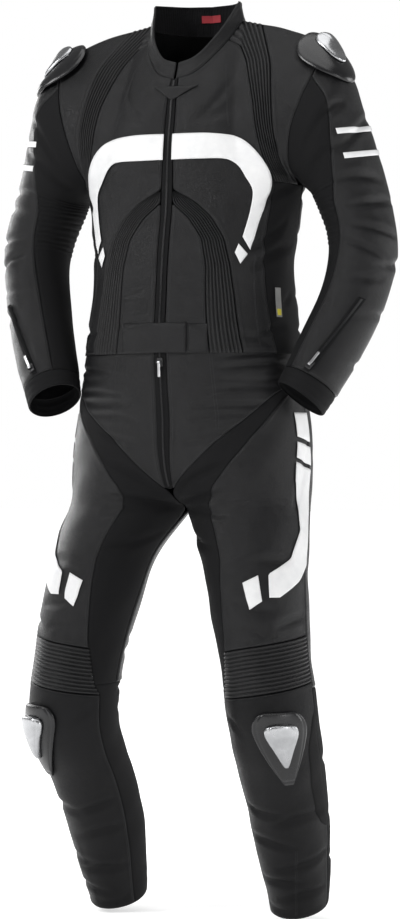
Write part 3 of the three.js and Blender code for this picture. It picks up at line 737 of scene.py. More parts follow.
# --------------------------------------------------------------------------- meshes
@dataclass
class Soup:
    """Corners and faces gathered for one mesh. Corners are in millimetres."""

    corners: list[Array] = field(default_factory=list)
    faces: list[Array] = field(default_factory=list)
    count: int = 0

    def add(self, corners: Array, faces: Array) -> None:
        """Adds corners (n, 3) and quads or triangles that count from 0.

        Args:
            corners: Places (n, 3).
            faces: Numbers of corners.
        """
        self.corners.append(np.asarray(corners, float).reshape(-1, 3))
        self.faces.append(np.asarray(faces) + self.count)
        self.count += len(self.corners[-1])

    def extend(self, other: "Soup") -> None:
        """Adds another soup's parts."""
        for corners, faces in zip(other.corners, other.faces):
            self.add(corners, faces - int(faces.min()))

    def shell(self, outer: Array, inner: Array, side: int = 1) -> None:
        """Adds a closed shell between two grids (rows, columns, 3).

        Args:
            outer: The outer face.
            inner: The inner face.
            side: -1 where the grids are mirrored.
        """
        if side == -1:
            outer, inner = outer[:, ::-1], inner[:, ::-1]
        rows, columns = outer.shape[:2]
        grid = np.arange(rows * columns).reshape(rows, columns)
        quads = np.stack([grid[:-1, :-1], grid[:-1, 1:], grid[1:, 1:], grid[1:, :-1]], -1).reshape(-1, 4)
        back = quads[:, ::-1] + rows * columns
        ring = np.concatenate([grid[0], grid[1:, -1], grid[-1, -2::-1], grid[-2:0:-1, 0]])
        after = np.roll(ring, -1)
        rim = np.stack([ring, ring + rows * columns, after + rows * columns, after], -1)
        self.add(
            np.concatenate([outer.reshape(-1, 3), inner.reshape(-1, 3)]), np.concatenate([quads, back, rim]),
        )

    def blocks(self, centres: Array, along: Array, out: Array, size: tuple[float, float, float]) -> None:
        """Adds a small domed block at each centre.

        Args:
            centres: Places (n, 3).
            along: Unit vectors of the long side.
            out: Unit vectors outward.
            size: Length, width and height.
        """
        across = np.cross(out, along)
        pattern = np.array(
            [
                (-1, -1, 0), (1, -1, 0), (1, 1, 0), (-1, 1, 0), (-0.7, -0.5, 1), (0.7, -0.5, 1),
                (0.7, 0.5, 1), (-0.7, 0.5, 1),
            ]
        )
        quads = np.array([(4, 5, 6, 7), (0, 1, 5, 4), (1, 2, 6, 5), (2, 3, 7, 6), (3, 0, 4, 7)])
        half = np.array(size) * (0.5, 0.5, 1)
        local = pattern * half
        corners = (
            centres[:, None]
            + local[None, :, :1] * along[:, None]
            + local[None, :, 1:2] * across[:, None]
            + local[None, :, 2:] * out[:, None]
        )
        faces = quads[None] + 8 * np.arange(len(centres))[:, None, None]
        self.add(corners, faces.reshape(-1, 4))

    def mirrored(self) -> "Soup":
        """Returns the same on the wearer's right.

        Returns:
            The mirrored soup.
        """
        copy = Soup(count=self.count)
        copy.corners = [c * (-1, 1, 1) for c in self.corners]
        copy.faces = [f[:, ::-1] for f in self.faces]
        return copy

    def build(self, name: str, material: bpy.types.Material, smooth: bool = True) -> bpy.types.Object:
        """Makes the object.

        Args:
            name: The piece's name.
            material: Its finish.
            smooth: Whether its faces are shaded smooth.

        Returns:
            The object, linked to the scene.
        """
        mesh = bpy.data.meshes.new(name)
        corners = np.concatenate(self.corners) * MM
        faces = [tuple(map(int, f)) for block in self.faces for f in block]
        mesh.from_pydata(corners.tolist(), [], faces)
        mesh.polygons.foreach_set("use_smooth", [smooth] * len(mesh.polygons))
        mesh.update()
        mesh.materials.append(material)
        piece = bpy.data.objects.new(name, mesh)
        bpy.context.scene.collection.objects.link(piece)
        return piece


@dataclass(frozen=True)
class Ribs:
    """Ribs of an elastic panel."""

    count: int
    depth: float
    up: bool = False
    slant: float = 0.0
    start: float = 0.0
    end: float = 1.0

    def at(self, across: Array, up: Array) -> Array:
        """Returns the offset at shares of the panel's width and height.

        Args:
            across: Shares of the width.
            up: Shares of the height.

        Returns:
            Offsets in millimetres.
        """
        place = up if self.up else across
        share = (place - self.start) / (self.end - self.start)
        inside = np.clip(np.minimum(share, 1 - share) * self.count * 4 + 1, 0, 1)
        phase = (share + self.slant * (across - 0.5 if self.up else up - 0.5)) * self.count
        return self.depth * (np.abs(np.sin(phase * math.pi)) ** 0.55 - 0.62) * inside


class Edge:
    """An edge line of a panel: its u at each height, with its corners eased."""

    def __init__(self, table: EdgeTable | float, ease: float) -> None:
        """Keeps the table, or one value for all heights."""
        self.table = [(0.0, table)] if isinstance(table, (int, float)) else sorted(table)
        self.ease = ease

    def at(self, v: Array) -> Array:
        """Returns u at heights v.

        Args:
            v: Heights.

        Returns:
            The eased u of each.
        """
        z = [row[0] for row in self.table]
        u = [row[1] for row in self.table]
        total = np.zeros_like(v)
        for offset, weight in ((-1, 1), (-0.5, 2), (0, 3), (0.5, 2), (1, 1)):
            total += weight * np.interp(v + offset * self.ease, z, u)
        return total / 9


@dataclass(frozen=True)
class Cut:
    """One sewn panel: between two edges of a form, from one height to another."""

    name: str
    form: str
    low: float
    high: float
    left: EdgeTable | float
    right: EdgeTable | float
    lift: float = -WALL
    wall: float = WALL
    pitch: tuple[float, float] = (5.1, 5.1)
    ribs: Ribs | None = None
    stitched: bool = False
    roll: float = 0.9
    slope: tuple[float, float] = (0.0, 0.0)
    pair: bool = True


@dataclass
class Panel:
    """A panel's grid of points and what its cut measures."""

    outer: Array
    inner: Array
    flat: tuple[float, float]
    area: float


EASE = {"jacket": 7.0, "trousers": 7.0, "sleeve": 0.12, "collar": 0.02}


@dataclass(frozen=True)
class Cutter:
    """Makes panels from their cuts."""

    forms: Forms
    relief: Relief
    stitch: tuple[float, float, float] = (2.6, 0.62, 0.42)
    stitch_pitch: float = 3.7
    stitch_rows: tuple[float, float] = (2.4, 5.4)
    stitch_lift: float = 0.3
    shortest_hem: float = 30
    line_half: float = 0.004
    roll_width: float = 1.9
    welt_rise: float = 0.75
    welt_middle: float = 4.6
    welt_width: float = 2.9
    rib_relief: float = 0.6
    samples: int = 25

    def place(self, cut: Cut, across: Array, up: Array, side: int) -> tuple[Array, Array]:
        """Finds where shares of a panel lie.

        Args:
            cut: The panel's cut.
            across: Shares of its width.
            up: Shares of its height.
            side: 1 for the wearer's left, -1 for the right.

        Returns:
            Points on the cloth's outer face, and normals.
        """
        form: Form = getattr(self.forms, cut.form)
        scale = form.steps[1] / 0.5
        gap = SEAM / 2 * (scale if scale < 1 else 1)
        low = cut.low + gap + cut.slope[0] * (across - 0.5)
        high = cut.high - gap + cut.slope[1] * (across - 0.5)
        v = low + (high - low) * up
        start = Edge(cut.left, EASE[cut.form]).at(v)
        end = Edge(cut.right, EASE[cut.form]).at(v)
        width = np.linalg.norm(form.point(start, v) - form.point(start + 1e-3, v), axis=-1) / 1e-3
        trim = SEAM / 2 / np.maximum(width, 1)
        u = start + trim + (end - start - 2 * trim) * across
        base = form.point(u, v)
        inward = np.minimum(0.002, (end - start) / 2)
        out = form.normal(np.clip(u, start + inward, end - inward), v)
        flip = np.array((side, 1, 1))
        points, out = base * flip, out * flip
        rise = self.relief.at(points)
        if cut.ribs:
            rise = self.rib_relief * rise + cut.ribs.at(across, up)
        return points + out * (cut.lift + cut.wall + rise)[..., None], out

    def panel(self, cut: Cut, side: int) -> Panel:
        """Returns the grid of one panel.

        Args:
            cut: The panel's cut.
            side: 1 for the wearer's left, -1 for the right.

        Returns:
            Its grids and measures.
        """
        wide = max(self.length(cut, self.shares(), self.level(h)) for h in (0.02, 0.25, 0.5, 0.75, 0.98))
        tall = max(self.length(cut, self.level(a), self.shares()) for a in (0.02, 0.5, 0.98))
        columns = max(6, math.ceil(wide / cut.pitch[0]))
        rows = max(4, math.ceil(tall / cut.pitch[1]))
        across, up = np.meshgrid(self.eased(columns, wide), self.eased(rows, tall))
        outer, normals = self.place(cut, across, up, side)
        along_u = np.linalg.norm(np.diff(outer, axis=1), axis=-1).cumsum(1)
        along_v = np.linalg.norm(np.diff(outer, axis=0), axis=-1).cumsum(0)
        edge = self.roll_at(across, up, along_u[:, -1:], along_v[-1:])
        rise = -cut.roll * edge
        if cut.stitched:
            rise = rise + self.welt_at(across, up, along_u[:, -1:], along_v[-1:])
        outer = outer + normals * rise[..., None]
        inner = outer - normals * cut.wall
        a = np.cross(outer[1:, 1:] - outer[:-1, :-1], outer[1:, :-1] - outer[:-1, 1:])
        area = float(np.linalg.norm(a, axis=-1).sum() / 2)
        flat = (float(along_u[:, -1].max()), float(along_v[-1].max()))
        return Panel(outer, inner, flat, area)

    def shares(self) -> Array:
        """Returns even shares from 0 to 1, to measure along."""
        return np.linspace(0, 1, self.samples)

    def level(self, value: float) -> Array:
        """Returns one share for each sample."""
        return np.full(self.samples, value)

    @staticmethod
    def eased(count: int, size: float) -> Array:
        """Returns shares from 0 to 1 with two extra rows close to each end."""
        near = min(1.1 / max(size, 1), 0.2 / count)
        return np.concatenate(
            [[0, near, 2.4 * near], np.linspace(5 * near, 1 - 5 * near, count - 1), [1 - 2.4 * near, 1 - near, 1]]
        )

    def roll_at(self, across: Array, up: Array, wide: Array, tall: Array) -> Array:
        """Returns how far, from 0 to 1, the cloth turns down into its seams."""
        gap = np.minimum(np.minimum(across, 1 - across) * wide, np.minimum(up, 1 - up) * tall)
        return np.exp(-((gap / self.roll_width) ** 2))

    def welt_at(self, across: Array, up: Array, wide: Array, tall: Array) -> Array:
        """Returns how far the turned edge of a leather panel stands up beside its seam."""
        gap = np.minimum(np.minimum(across, 1 - across) * wide, np.minimum(up, 1 - up) * tall)
        return self.welt_rise * np.exp(-(((gap - self.welt_middle) / self.welt_width) ** 2))

    def length(self, cut: Cut, across: Array, up: Array) -> float:
        """Returns the length of a line over a panel, in millimetres."""
        points, _ = self.place(cut, across, up, 1)
        return float(np.linalg.norm(np.diff(points, axis=0), axis=1).sum())

    def stitches(self, cut: Cut, side: int, soup: Soup) -> None:
        """Adds two rows of stitches beside each side edge of a panel.

        Args:
            cut: The panel's cut.
            side: 1 for the wearer's left, -1 for the right.
            soup: What they are added to.
        """
        fine = np.linspace(0.004, 0.996, 400)
        middle = self.length(cut, self.shares(), self.level(0.5))
        for offset in self.stitch_rows:
            for from_left in (True, False):
                wide = self.widths(cut, fine)
                share = np.clip(offset / np.maximum(wide, 1), 0, 0.45)
                across = share if from_left else 1 - share
                self.row(cut, across, fine, side, soup)
        tall = self.length(cut, self.level(0.5), self.shares())
        if middle > self.shortest_hem:
            for end in (self.stitch_rows[0] / tall, 1 - self.stitch_rows[0] / tall):
                self.row(cut, np.linspace(0.02, 0.98, 400), np.full(400, end), side, soup)

    def line(
        self, form_name: str, start: tuple[float, float], end: tuple[float, float], side: int, soup: Soup,
    ) -> None:
        """Adds a double row of stitches between two places on a form.

        Args:
            form_name: The form's name.
            start: Where it starts, as (u, v).
            end: Where it ends, as (u, v).
            side: 1 for the wearer's left, -1 for the right.
            soup: What they are added to.
        """
        for shift in (-self.line_half, self.line_half):
            left = [(end[1], end[0] + shift), (start[1], start[0] + shift)]
            cut = Cut("line", form_name, end[1], start[1], left, 1)
            self.row(cut, np.zeros(300), np.linspace(0.01, 0.99, 300), side, soup)

    def widths(self, cut: Cut, up: Array) -> Array:
        """Returns a panel's width at shares of its height.

        Args:
            cut: The panel's cut.
            up: Shares of the height.

        Returns:
            Widths in millimetres.
        """
        across, high = np.meshgrid(np.linspace(0, 1, 9), up)
        points, _ = self.place(cut, across, high, 1)
        return np.linalg.norm(np.diff(points, axis=1), axis=-1).sum(1)

    def row(self, cut: Cut, across: Array, up: Array, side: int, soup: Soup) -> None:
        """Adds one row of stitches along places on a panel.

        Args:
            cut: The panel's cut.
            across: Shares of the width.
            up: Shares of the height.
            side: 1 for the wearer's left, -1 for the right.
            soup: What they are added to.
        """
        points, normals = self.place(cut, across, up, side)
        run = np.concatenate([[0], np.linalg.norm(np.diff(points, axis=0), axis=1).cumsum()])
        count = int(run[-1] / self.stitch_pitch)
        if count < 2:
            return
        at = (np.arange(count) + 0.5) * self.stitch_pitch
        centres = np.stack([np.interp(at, run, points[:, k]) for k in range(3)], -1)
        out = np.stack([np.interp(at, run, normals[:, k]) for k in range(3)], -1)
        ahead = np.stack([np.interp(at + 0.5, run, points[:, k]) for k in range(3)], -1) - centres
        out /= np.linalg.norm(out, axis=1, keepdims=True)
        ahead -= out * (ahead * out).sum(1, keepdims=True)
        norm = np.linalg.norm(ahead, axis=1, keepdims=True)
        keep = norm[:, 0] > 1e-6
        ahead = ahead[keep] / norm[keep]
        soup.blocks(centres[keep] + out[keep] * self.stitch_lift, ahead, out[keep], self.stitch)


# --------------------------------------------------------------------------- finishes
class Slot(Enum):
    """The material slots that the finishes belong to."""

    LEATHER = "leather"
    STRETCH = "stretch"
    WHITE = "white_leather"
    MESH = "mesh"
    LABEL = "label"
    MOULDING = "moulding"
    SILVER = "silver_plate"
    TAPE = "zip_tape"
    METAL = "zip_metal"


@dataclass(frozen=True)
class Finish:
    """A procedural finish: colour, gloss and a fine surface."""

    name: str
    slot: Slot
    dark: tuple[float, float, float]
    light: tuple[float, float, float]
    roughness: float
    cells: float
    depth: float
    metallic: float = 0.0
    specular: float = 0.5
    woven: bool = False


FINISHES: dict[str, Finish] = {
    f.name: f
    for f in (
        Finish(
            "leather", Slot.LEATHER, (0.004, 0.004, 0.0044), (0.0085, 0.0085, 0.0092), 0.36, 620, 0.00022,
            specular=0.19,
        ),
        Finish(
            "stretch", Slot.STRETCH, (0.0032, 0.0032, 0.0036), (0.006, 0.006, 0.0066), 0.78, 900, 0.0002,
            specular=0.16, woven=True,
        ),
        Finish(
            "ribbed", Slot.STRETCH, (0.003, 0.003, 0.0034), (0.006, 0.006, 0.0066), 0.38, 700, 0.00016,
            specular=0.26,
        ),
        Finish("white_leather", Slot.WHITE, (0.6, 0.603, 0.61), (0.7, 0.7, 0.7), 0.42, 620, 0.00014),
        Finish(
            "lining", Slot.MESH, (0.003, 0.003, 0.0034), (0.008, 0.008, 0.009), 0.9, 330, 0.0006,
            specular=0.15, woven=True,
        ),
        Finish(
            "grey_label", Slot.LABEL, (0.16, 0.16, 0.158), (0.22, 0.22, 0.21), 0.7, 1100, 0.0001, woven=True,
        ),
        Finish(
            "red_label", Slot.LABEL, (0.26, 0.012, 0.02), (0.34, 0.018, 0.028), 0.7, 1100, 0.0001,
            woven=True,
        ),
        Finish(
            "yellow_label", Slot.LABEL, (0.46, 0.4, 0.02), (0.56, 0.48, 0.03), 0.7, 1100, 0.0001, woven=True,
        ),
        Finish(
            "moulding", Slot.MOULDING, (0.005, 0.005, 0.0055), (0.008, 0.008, 0.009), 0.26, 300, 0.00004,
            specular=0.4,
        ),
        Finish(
            "silver", Slot.SILVER, (0.3, 0.304, 0.312), (0.44, 0.445, 0.455), 0.26, 420, 0.00005,
            metallic=1.0,
        ),
        Finish("steel", Slot.METAL, (0.42, 0.42, 0.43), (0.58, 0.58, 0.59), 0.3, 500, 0.00004, metallic=1.0),
        Finish(
            "black_metal", Slot.METAL, (0.01, 0.01, 0.011), (0.02, 0.02, 0.021), 0.34, 500, 0.00004,
            specular=0.45,
        ),
        Finish(
            "tape", Slot.TAPE, (0.003, 0.003, 0.0034), (0.006, 0.006, 0.0065), 0.8, 1200, 0.0002,
            specular=0.16, woven=True,
        ),
        Finish(
            "thread", Slot.LEATHER, (0.022, 0.022, 0.023), (0.036, 0.036, 0.038), 0.6, 1500, 0.0001,
            specular=0.25,
        ),
        Finish(
            "dark_leather", Slot.LEATHER, (0.003, 0.003, 0.0034), (0.0062, 0.0062, 0.0068), 0.42, 620,
            0.0002, specular=0.13,
        ),
    )
}


class Nodes:
    """Short calls for one node tree."""

    def __init__(self, tree: bpy.types.NodeTree) -> None:
        """Keeps the tree."""
        self.tree = tree

    def add(self, kind: str, inputs: dict[str, object] | None = None, **settings: object) -> bpy.types.Node:
        """Adds a node, sets it, and links or sets its inputs.

        Args:
            kind: The node's type.
            inputs: Links and values by socket.
            settings: The node's own settings.

        Returns:
            The node.
        """
        node = self.tree.nodes.new(kind)
        for key, value in settings.items():
            setattr(node, key, value)
        for key, value in (inputs or {}).items():
            target = node.inputs[int(key) if key.isdigit() else key]
            if isinstance(value, bpy.types.NodeSocket):
                self.tree.links.new(value, target)
            else:
                target.default_value = value
        return node


class Finishes:
    """Makes the materials, which share one surface group for grain and one for weave."""

    def __init__(self) -> None:
        """Makes the two groups."""
        self.grain = self.surface("hide_grain", False)
        self.weave = self.surface("woven_face", True)
        self.made: dict[str, bpy.types.Material] = {}

    @staticmethod
    def surface(name: str, woven: bool) -> bpy.types.NodeTree:
        """Makes a group that gives a mottle, a gloss change and a normal.

        Args:
            name: The group's name.
            woven: Whether it is a weave and not a grain.

        Returns:
            The group.
        """
        tree = bpy.data.node_groups.new(name, "ShaderNodeTree")
        for label, way, kind in (
            ("Cells", "INPUT", "NodeSocketFloat"),
            ("Depth", "INPUT", "NodeSocketFloat"),
            ("Mottle", "OUTPUT", "NodeSocketFloat"),
            ("Gloss", "OUTPUT", "NodeSocketFloat"),
            ("Normal", "OUTPUT", "NodeSocketVector"),
        ):
            tree.interface.new_socket(label, in_out=way, socket_type=kind)
        n = Nodes(tree)
        given = n.add("NodeGroupInput").outputs
        place = n.add("ShaderNodeTexCoord").outputs["Object"]
        cloud = n.add("ShaderNodeTexNoise", {"Vector": place, "Scale": 9.0, "Detail": 3.0, "Roughness": 0.6})
        rub = n.add("ShaderNodeTexNoise", {"Vector": place, "Scale": 55.0, "Detail": 4.0, "Roughness": 0.65})
        both = n.add(
            "ShaderNodeMath", {"0": cloud.outputs[0], "1": rub.outputs[0]}, operation="ADD",
        ).outputs[0]
        mottle = n.add("ShaderNodeMapRange", {"Value": both, "From Min": 0.7, "From Max": 1.3}).outputs[0]
        if woven:
            parts = n.add("ShaderNodeSeparateXYZ", {"0": place}).outputs
            waves = []
            for a, b in ((0, 2), (1, 2)):
                turn = n.add(
                    "ShaderNodeMath", {"0": parts[a], "1": parts[b]},
                    operation="ADD" if a == 0 else "SUBTRACT",
                )
                scaled = n.add(
                    "ShaderNodeMath", {"0": turn.outputs[0], "1": given["Cells"]}, operation="MULTIPLY",
                )
                thick = n.add("ShaderNodeMath", {"0": scaled.outputs[0], "1": 4.0}, operation="MULTIPLY")
                waves.append(n.add("ShaderNodeMath", {"0": thick.outputs[0]}, operation="SINE").outputs[0])
            height = n.add("ShaderNodeMath", {"0": waves[0], "1": waves[1]}, operation="MULTIPLY").outputs[0]
        else:
            cells = n.add(
                "ShaderNodeTexVoronoi", {"Vector": place, "Scale": given["Cells"]},
                feature="DISTANCE_TO_EDGE",
            )
            lines = n.add(
                "ShaderNodeMapRange", {"Value": cells.outputs[0], "From Min": 0.0, "From Max": 0.28},
            )
            fine = n.add("ShaderNodeTexNoise", {"Vector": place, "Scale": 900.0, "Detail": 2.0})
            height = n.add(
                "ShaderNodeMath", {"0": fine.outputs[0], "1": 0.35, "2": lines.outputs[0]},
                operation="MULTIPLY_ADD",
            ).outputs[0]
        soft = n.add(
            "ShaderNodeMath", {"0": rub.outputs[0], "1": 1.5, "2": height}, operation="MULTIPLY_ADD",
        ).outputs[0]
        bump = n.add("ShaderNodeBump", {"Height": soft, "Distance": given["Depth"], "Strength": 1.0})
        gloss = n.add(
            "ShaderNodeMapRange",
            {"Value": both, "From Min": 0.6, "From Max": 1.4, "To Min": -0.09, "To Max": 0.09},
        )
        n.add("NodeGroupOutput", {"Mottle": mottle, "Gloss": gloss.outputs[0], "Normal": bump.outputs[0]})
        return tree

    def __getitem__(self, name: str) -> bpy.types.Material:
        """Returns the material of a finish, made once.

        Args:
            name: The finish's name.

        Returns:
            The material.
        """
        if name in self.made:
            return self.made[name]
        f = FINISHES[name]
        material = bpy.data.materials.new(f"finish_{name}")
        material.use_nodes = True
        n = Nodes(material.node_tree)
        shader = material.node_tree.nodes["Principled BSDF"]
        face = n.add("ShaderNodeGroup", node_tree=self.weave if f.woven else self.grain)
        face.inputs["Cells"].default_value = f.cells
        face.inputs["Depth"].default_value = f.depth
        colour = n.add(
            "ShaderNodeMix", {"Factor": face.outputs["Mottle"], "6": (*f.dark, 1), "7": (*f.light, 1)},
            data_type="RGBA",
        ).outputs[2]
        rough = n.add(
            "ShaderNodeMath", {"0": face.outputs["Gloss"], "1": f.roughness}, operation="ADD",
            use_clamp=True,
        )
        link = material.node_tree.links.new
        link(colour, shader.inputs["Base Color"])
        link(rough.outputs[0], shader.inputs["Roughness"])
        link(face.outputs["Normal"], shader.inputs["Normal"])
        shader.inputs["Metallic"].default_value = f.metallic
        shader.inputs["Specular IOR Level"].default_value = f.specular
        self.made[name] = material
        return material


# --------------------------------------------------------------------------- tables of cuts
STOMACH_INNER = [(-505, 0.27), (-363, 0.255), (-320, 0.215), (-285, 0.12), (-262, ZIP_SHARE), (14, ZIP_SHARE)]
STOMACH_OUTER = [
    (-505, 0.49), (-410, 0.455), (-363, 0.42), (-320, 0.36), (-285, 0.26), (-258, 0.14),
    (RIB_TOP, ZIP_SHARE), (14, ZIP_SHARE),
]
RIB_INNER = [
    (-505, 0.76), (-455, 0.74), (-320, 0.68), (-226, 0.7), (-166, 0.66), (-106, 0.6), (-46, 0.5),
    (-16, 0.42), (14, 0.34),
]
RIB_OUTER = [(-226, 0.9), (-166, 0.84), (-106, 0.76), (-46, 0.68), (-16, 0.62), (14, 0.57)]
BACK_EDGE = [(-505, 1.14), (-320, 1.12), (-258, 1.06), (-226, 1.02), (-196, 1.003), (14, 1.003)]
INSERT_FRONT = [(-9, 0.14), (-6, 0.18), (-4, 0.22), (-2, 0.29), (-1, 0.33), (0, 0.375)]
INSERT_BACK = [(-9, -0.14), (-4, -0.12), (0, -0.0625)]
V_EDGE = [
    (-1040, 0.002), (-697, 0.002), (-690, 0.02), (-670, 0.075), (-635, 0.155), (-600, 0.25), (-571, 0.34),
    (-563, 0.38),
    (-548, 0.497), (-547, 0.5), (-492, 0.5),
]
THIGH_EDGE = [
    (-1058, 0.08), (-1040, 0.11), (-969, 0.16), (-900, 0.185), (-835, 0.203), (-790, 0.206), (-750, 0.2),
    (-700, 0.178),
    (-670, 0.2), (-635, 0.245), (-600, 0.32), (-571, 0.395), (-560, 0.488),
]
BAND_LEFT = [
    (-902, 0.349), (-858, 0.352), (-835, 0.43), (-790, 0.465), (-750, 0.453), (-700, 0.435), (-600, 0.42),
]
BAND_RIGHT = [(-902, 0.362), (-871, 0.46), (-845, 0.51), (-600, 0.51)]
KNEE_CUP = [
    (-1182, 0.014), (-1168, 0.032), (-1146, 0.058), (-1122, 0.082), (-1100, 0.097), (-1085, 0.092),
    (-1075, 0.072), (-1071, 0.045),
]
KNEE_SLIDER = [
    (-1151, 0.004), (-1138, 0.018), (-1122, 0.034), (-1108, 0.049), (-1098, 0.054), (-1091, 0.046),
    (-1087.5, 0.024),
]
SHIN_EDGE = [(-1408, INSEAM_FRONT), (-1058, INSEAM_FRONT), (-1040, 0.11)]
CALF_BACK = [(-1408, 1.08), (-1058, 1.08), (-1040, 1.11)]


def shifted(table: EdgeTable, change: Callable[[float], float]) -> list[tuple[float, float]]:
    """Returns a table whose u values are changed."""
    return [(z, change(u)) for z, u in table]


def leather(
    name: str, form: str, low: float, high: float, left: EdgeTable | float, right: EdgeTable | float,
    pair: bool = True,
) -> Cut:
    """Returns the cut of a stitched leather panel."""
    return Cut(name, form, low, high, left, right, stitched=True, pair=pair)


CUTS: tuple[tuple[Cut, str], ...] = (
    (
        Cut("main_zip", "jacket", JACKET_HEM, YOKE_TOP, -0.023, 0.023, pitch=(2, 5), pair=False, roll=0.3),
        "tape",
    ),
    (leather("centre_front", "jacket", JACKET_HEM, -264, ZIP_SHARE, STOMACH_INNER), "leather"),
    (
        Cut(
            "stomach_ribs", "jacket", JACKET_HEM, RIB_TOP - 2, STOMACH_INNER, STOMACH_OUTER,
            pitch=(1.2, 4.5), ribs=Ribs(8, 3.5),
        ),
        "ribbed",
    ),
    (leather("front", "jacket", JACKET_HEM, YOKE_TOP, STOMACH_OUTER, RIB_INNER), "leather"),
    (
        Cut(
            "shoulder_ribs", "jacket", ARMPIT, YOKE_TOP, RIB_INNER, RIB_OUTER, pitch=(1.4, 4),
            ribs=Ribs(7, 3.5),
        ),
        "ribbed",
    ),
    (leather("yoke", "jacket", ARMPIT, YOKE_TOP, RIB_OUTER, 1), "leather"),
    (Cut("side", "jacket", JACKET_HEM, ARMPIT, RIB_INNER, BACK_EDGE), "stretch"),
    (
        leather("back", "jacket", JACKET_HEM, YOKE_TOP, BACK_EDGE, shifted(BACK_EDGE, lambda u: 4 - u), pair=False),
        "leather",
    ),
    (Cut("collar", "collar", -0.04, 1, 0.01, 1.99, pitch=(3, 2.5), pair=False, stitched=True), "leather"),
    (
        Cut(
            "neck_lining", "collar", -0.3, 0.94, 0.04, 1.96, lift=-WALL - 0.4 - PATCH, wall=PATCH,
            pitch=(4, 3), pair=False,
        ),
        "lining",
    ),
    (
        Cut(
            "neck_label", "collar", 0.3, 0.62, 0.93, 1.07, lift=-WALL - 0.4 - PATCH - 1.4, wall=0.8,
            pitch=(2, 2), pair=False, roll=0.3,
        ),
        "red_label",
    ),
    (
        Cut(
            "side_label", "jacket", -446, -398, 0.8, 0.865, lift=LIFT, wall=0.8, pitch=(2, 2), pair=False,
            roll=0.3,
        ),
        "grey_label",
    ),
    (
        Cut(
            "sleeve_inner", "sleeve", CUFF_START, 0, INSERT_BACK, INSERT_FRONT, pitch=(4.8, 3.0),
            ribs=Ribs(12, 2.6, up=True, slant=0.04, start=0.36, end=0.62),
        ),
        "stretch",
    ),
    (
        leather("sleeve_outer", "sleeve", CUFF_START, 0, INSERT_FRONT, shifted(INSERT_BACK, lambda u: u + 1)),
        "leather",
    ),
    (
        Cut("cuff", "sleeve", CUFF_END, CUFF_START, 0.003, 0.997, pitch=(3, 1.6), ribs=Ribs(3, 0.8, up=True)),
        "stretch",
    ),
    (leather("trouser_front", "trousers", FLY_END, WAIST, FLY_SHARE, V_EDGE), "leather"),
    (Cut("crotch_stretch", "trousers", CALF_TOP, -556, V_EDGE, THIGH_EDGE), "stretch"),
    (
        Cut("thigh", "trousers", KNEE_TOP, -558, THIGH_EDGE, 0.5, stitched=True, slope=(KNEE_RISE, 0)),
        "leather",
    ),
    (leather("seat", "trousers", CALF_TOP, WAIST, 0.5, 0.998), "leather"),
    (
        Cut(
            "knee_ribs", "trousers", KNEE_RIBS_END, KNEE_TOP, THIGH_EDGE, 0.5, pitch=(4.5, 1.2),
            ribs=Ribs(12, 3.7, up=True), slope=(KNEE_RISE, KNEE_RISE),
        ),
        "ribbed",
    ),
    (
        Cut("shin", "trousers", ANKLE, KNEE_RIBS_END, SHIN_EDGE, 0.5, stitched=True, slope=(0, KNEE_RISE)),
        "dark_leather",
    ),
    (Cut("calf", "trousers", ANKLE, CALF_TOP, 0.5, CALF_BACK), "stretch"),
)

ARCH = (
    ((124.4, -318), (134.8, -339)), ((134, -276), (146, -292)), ((137, -243), (156, -258)),
    ((127, -221), (162, -228)),
    ((117, -204), (157, -200)), ((104, -194), (139, -173)), ((88, -191), (113, -156)),
    ((60, -191), (72, -150)),
    ((30, -191), (34, -149)), ((8, -191), (8, -149)),
)
FLAP = (((-3, -92), (4, -92)), ((-20, -80), (24, -80)), ((-34, -70), (44, -70)))


STITCH_GROUPS = {
    "jacket": "jacket_stitches",
    "sleeve": "sleeve_stitches",
    "trousers": "trouser_stitches",
    "collar": "collar_stitches",
}


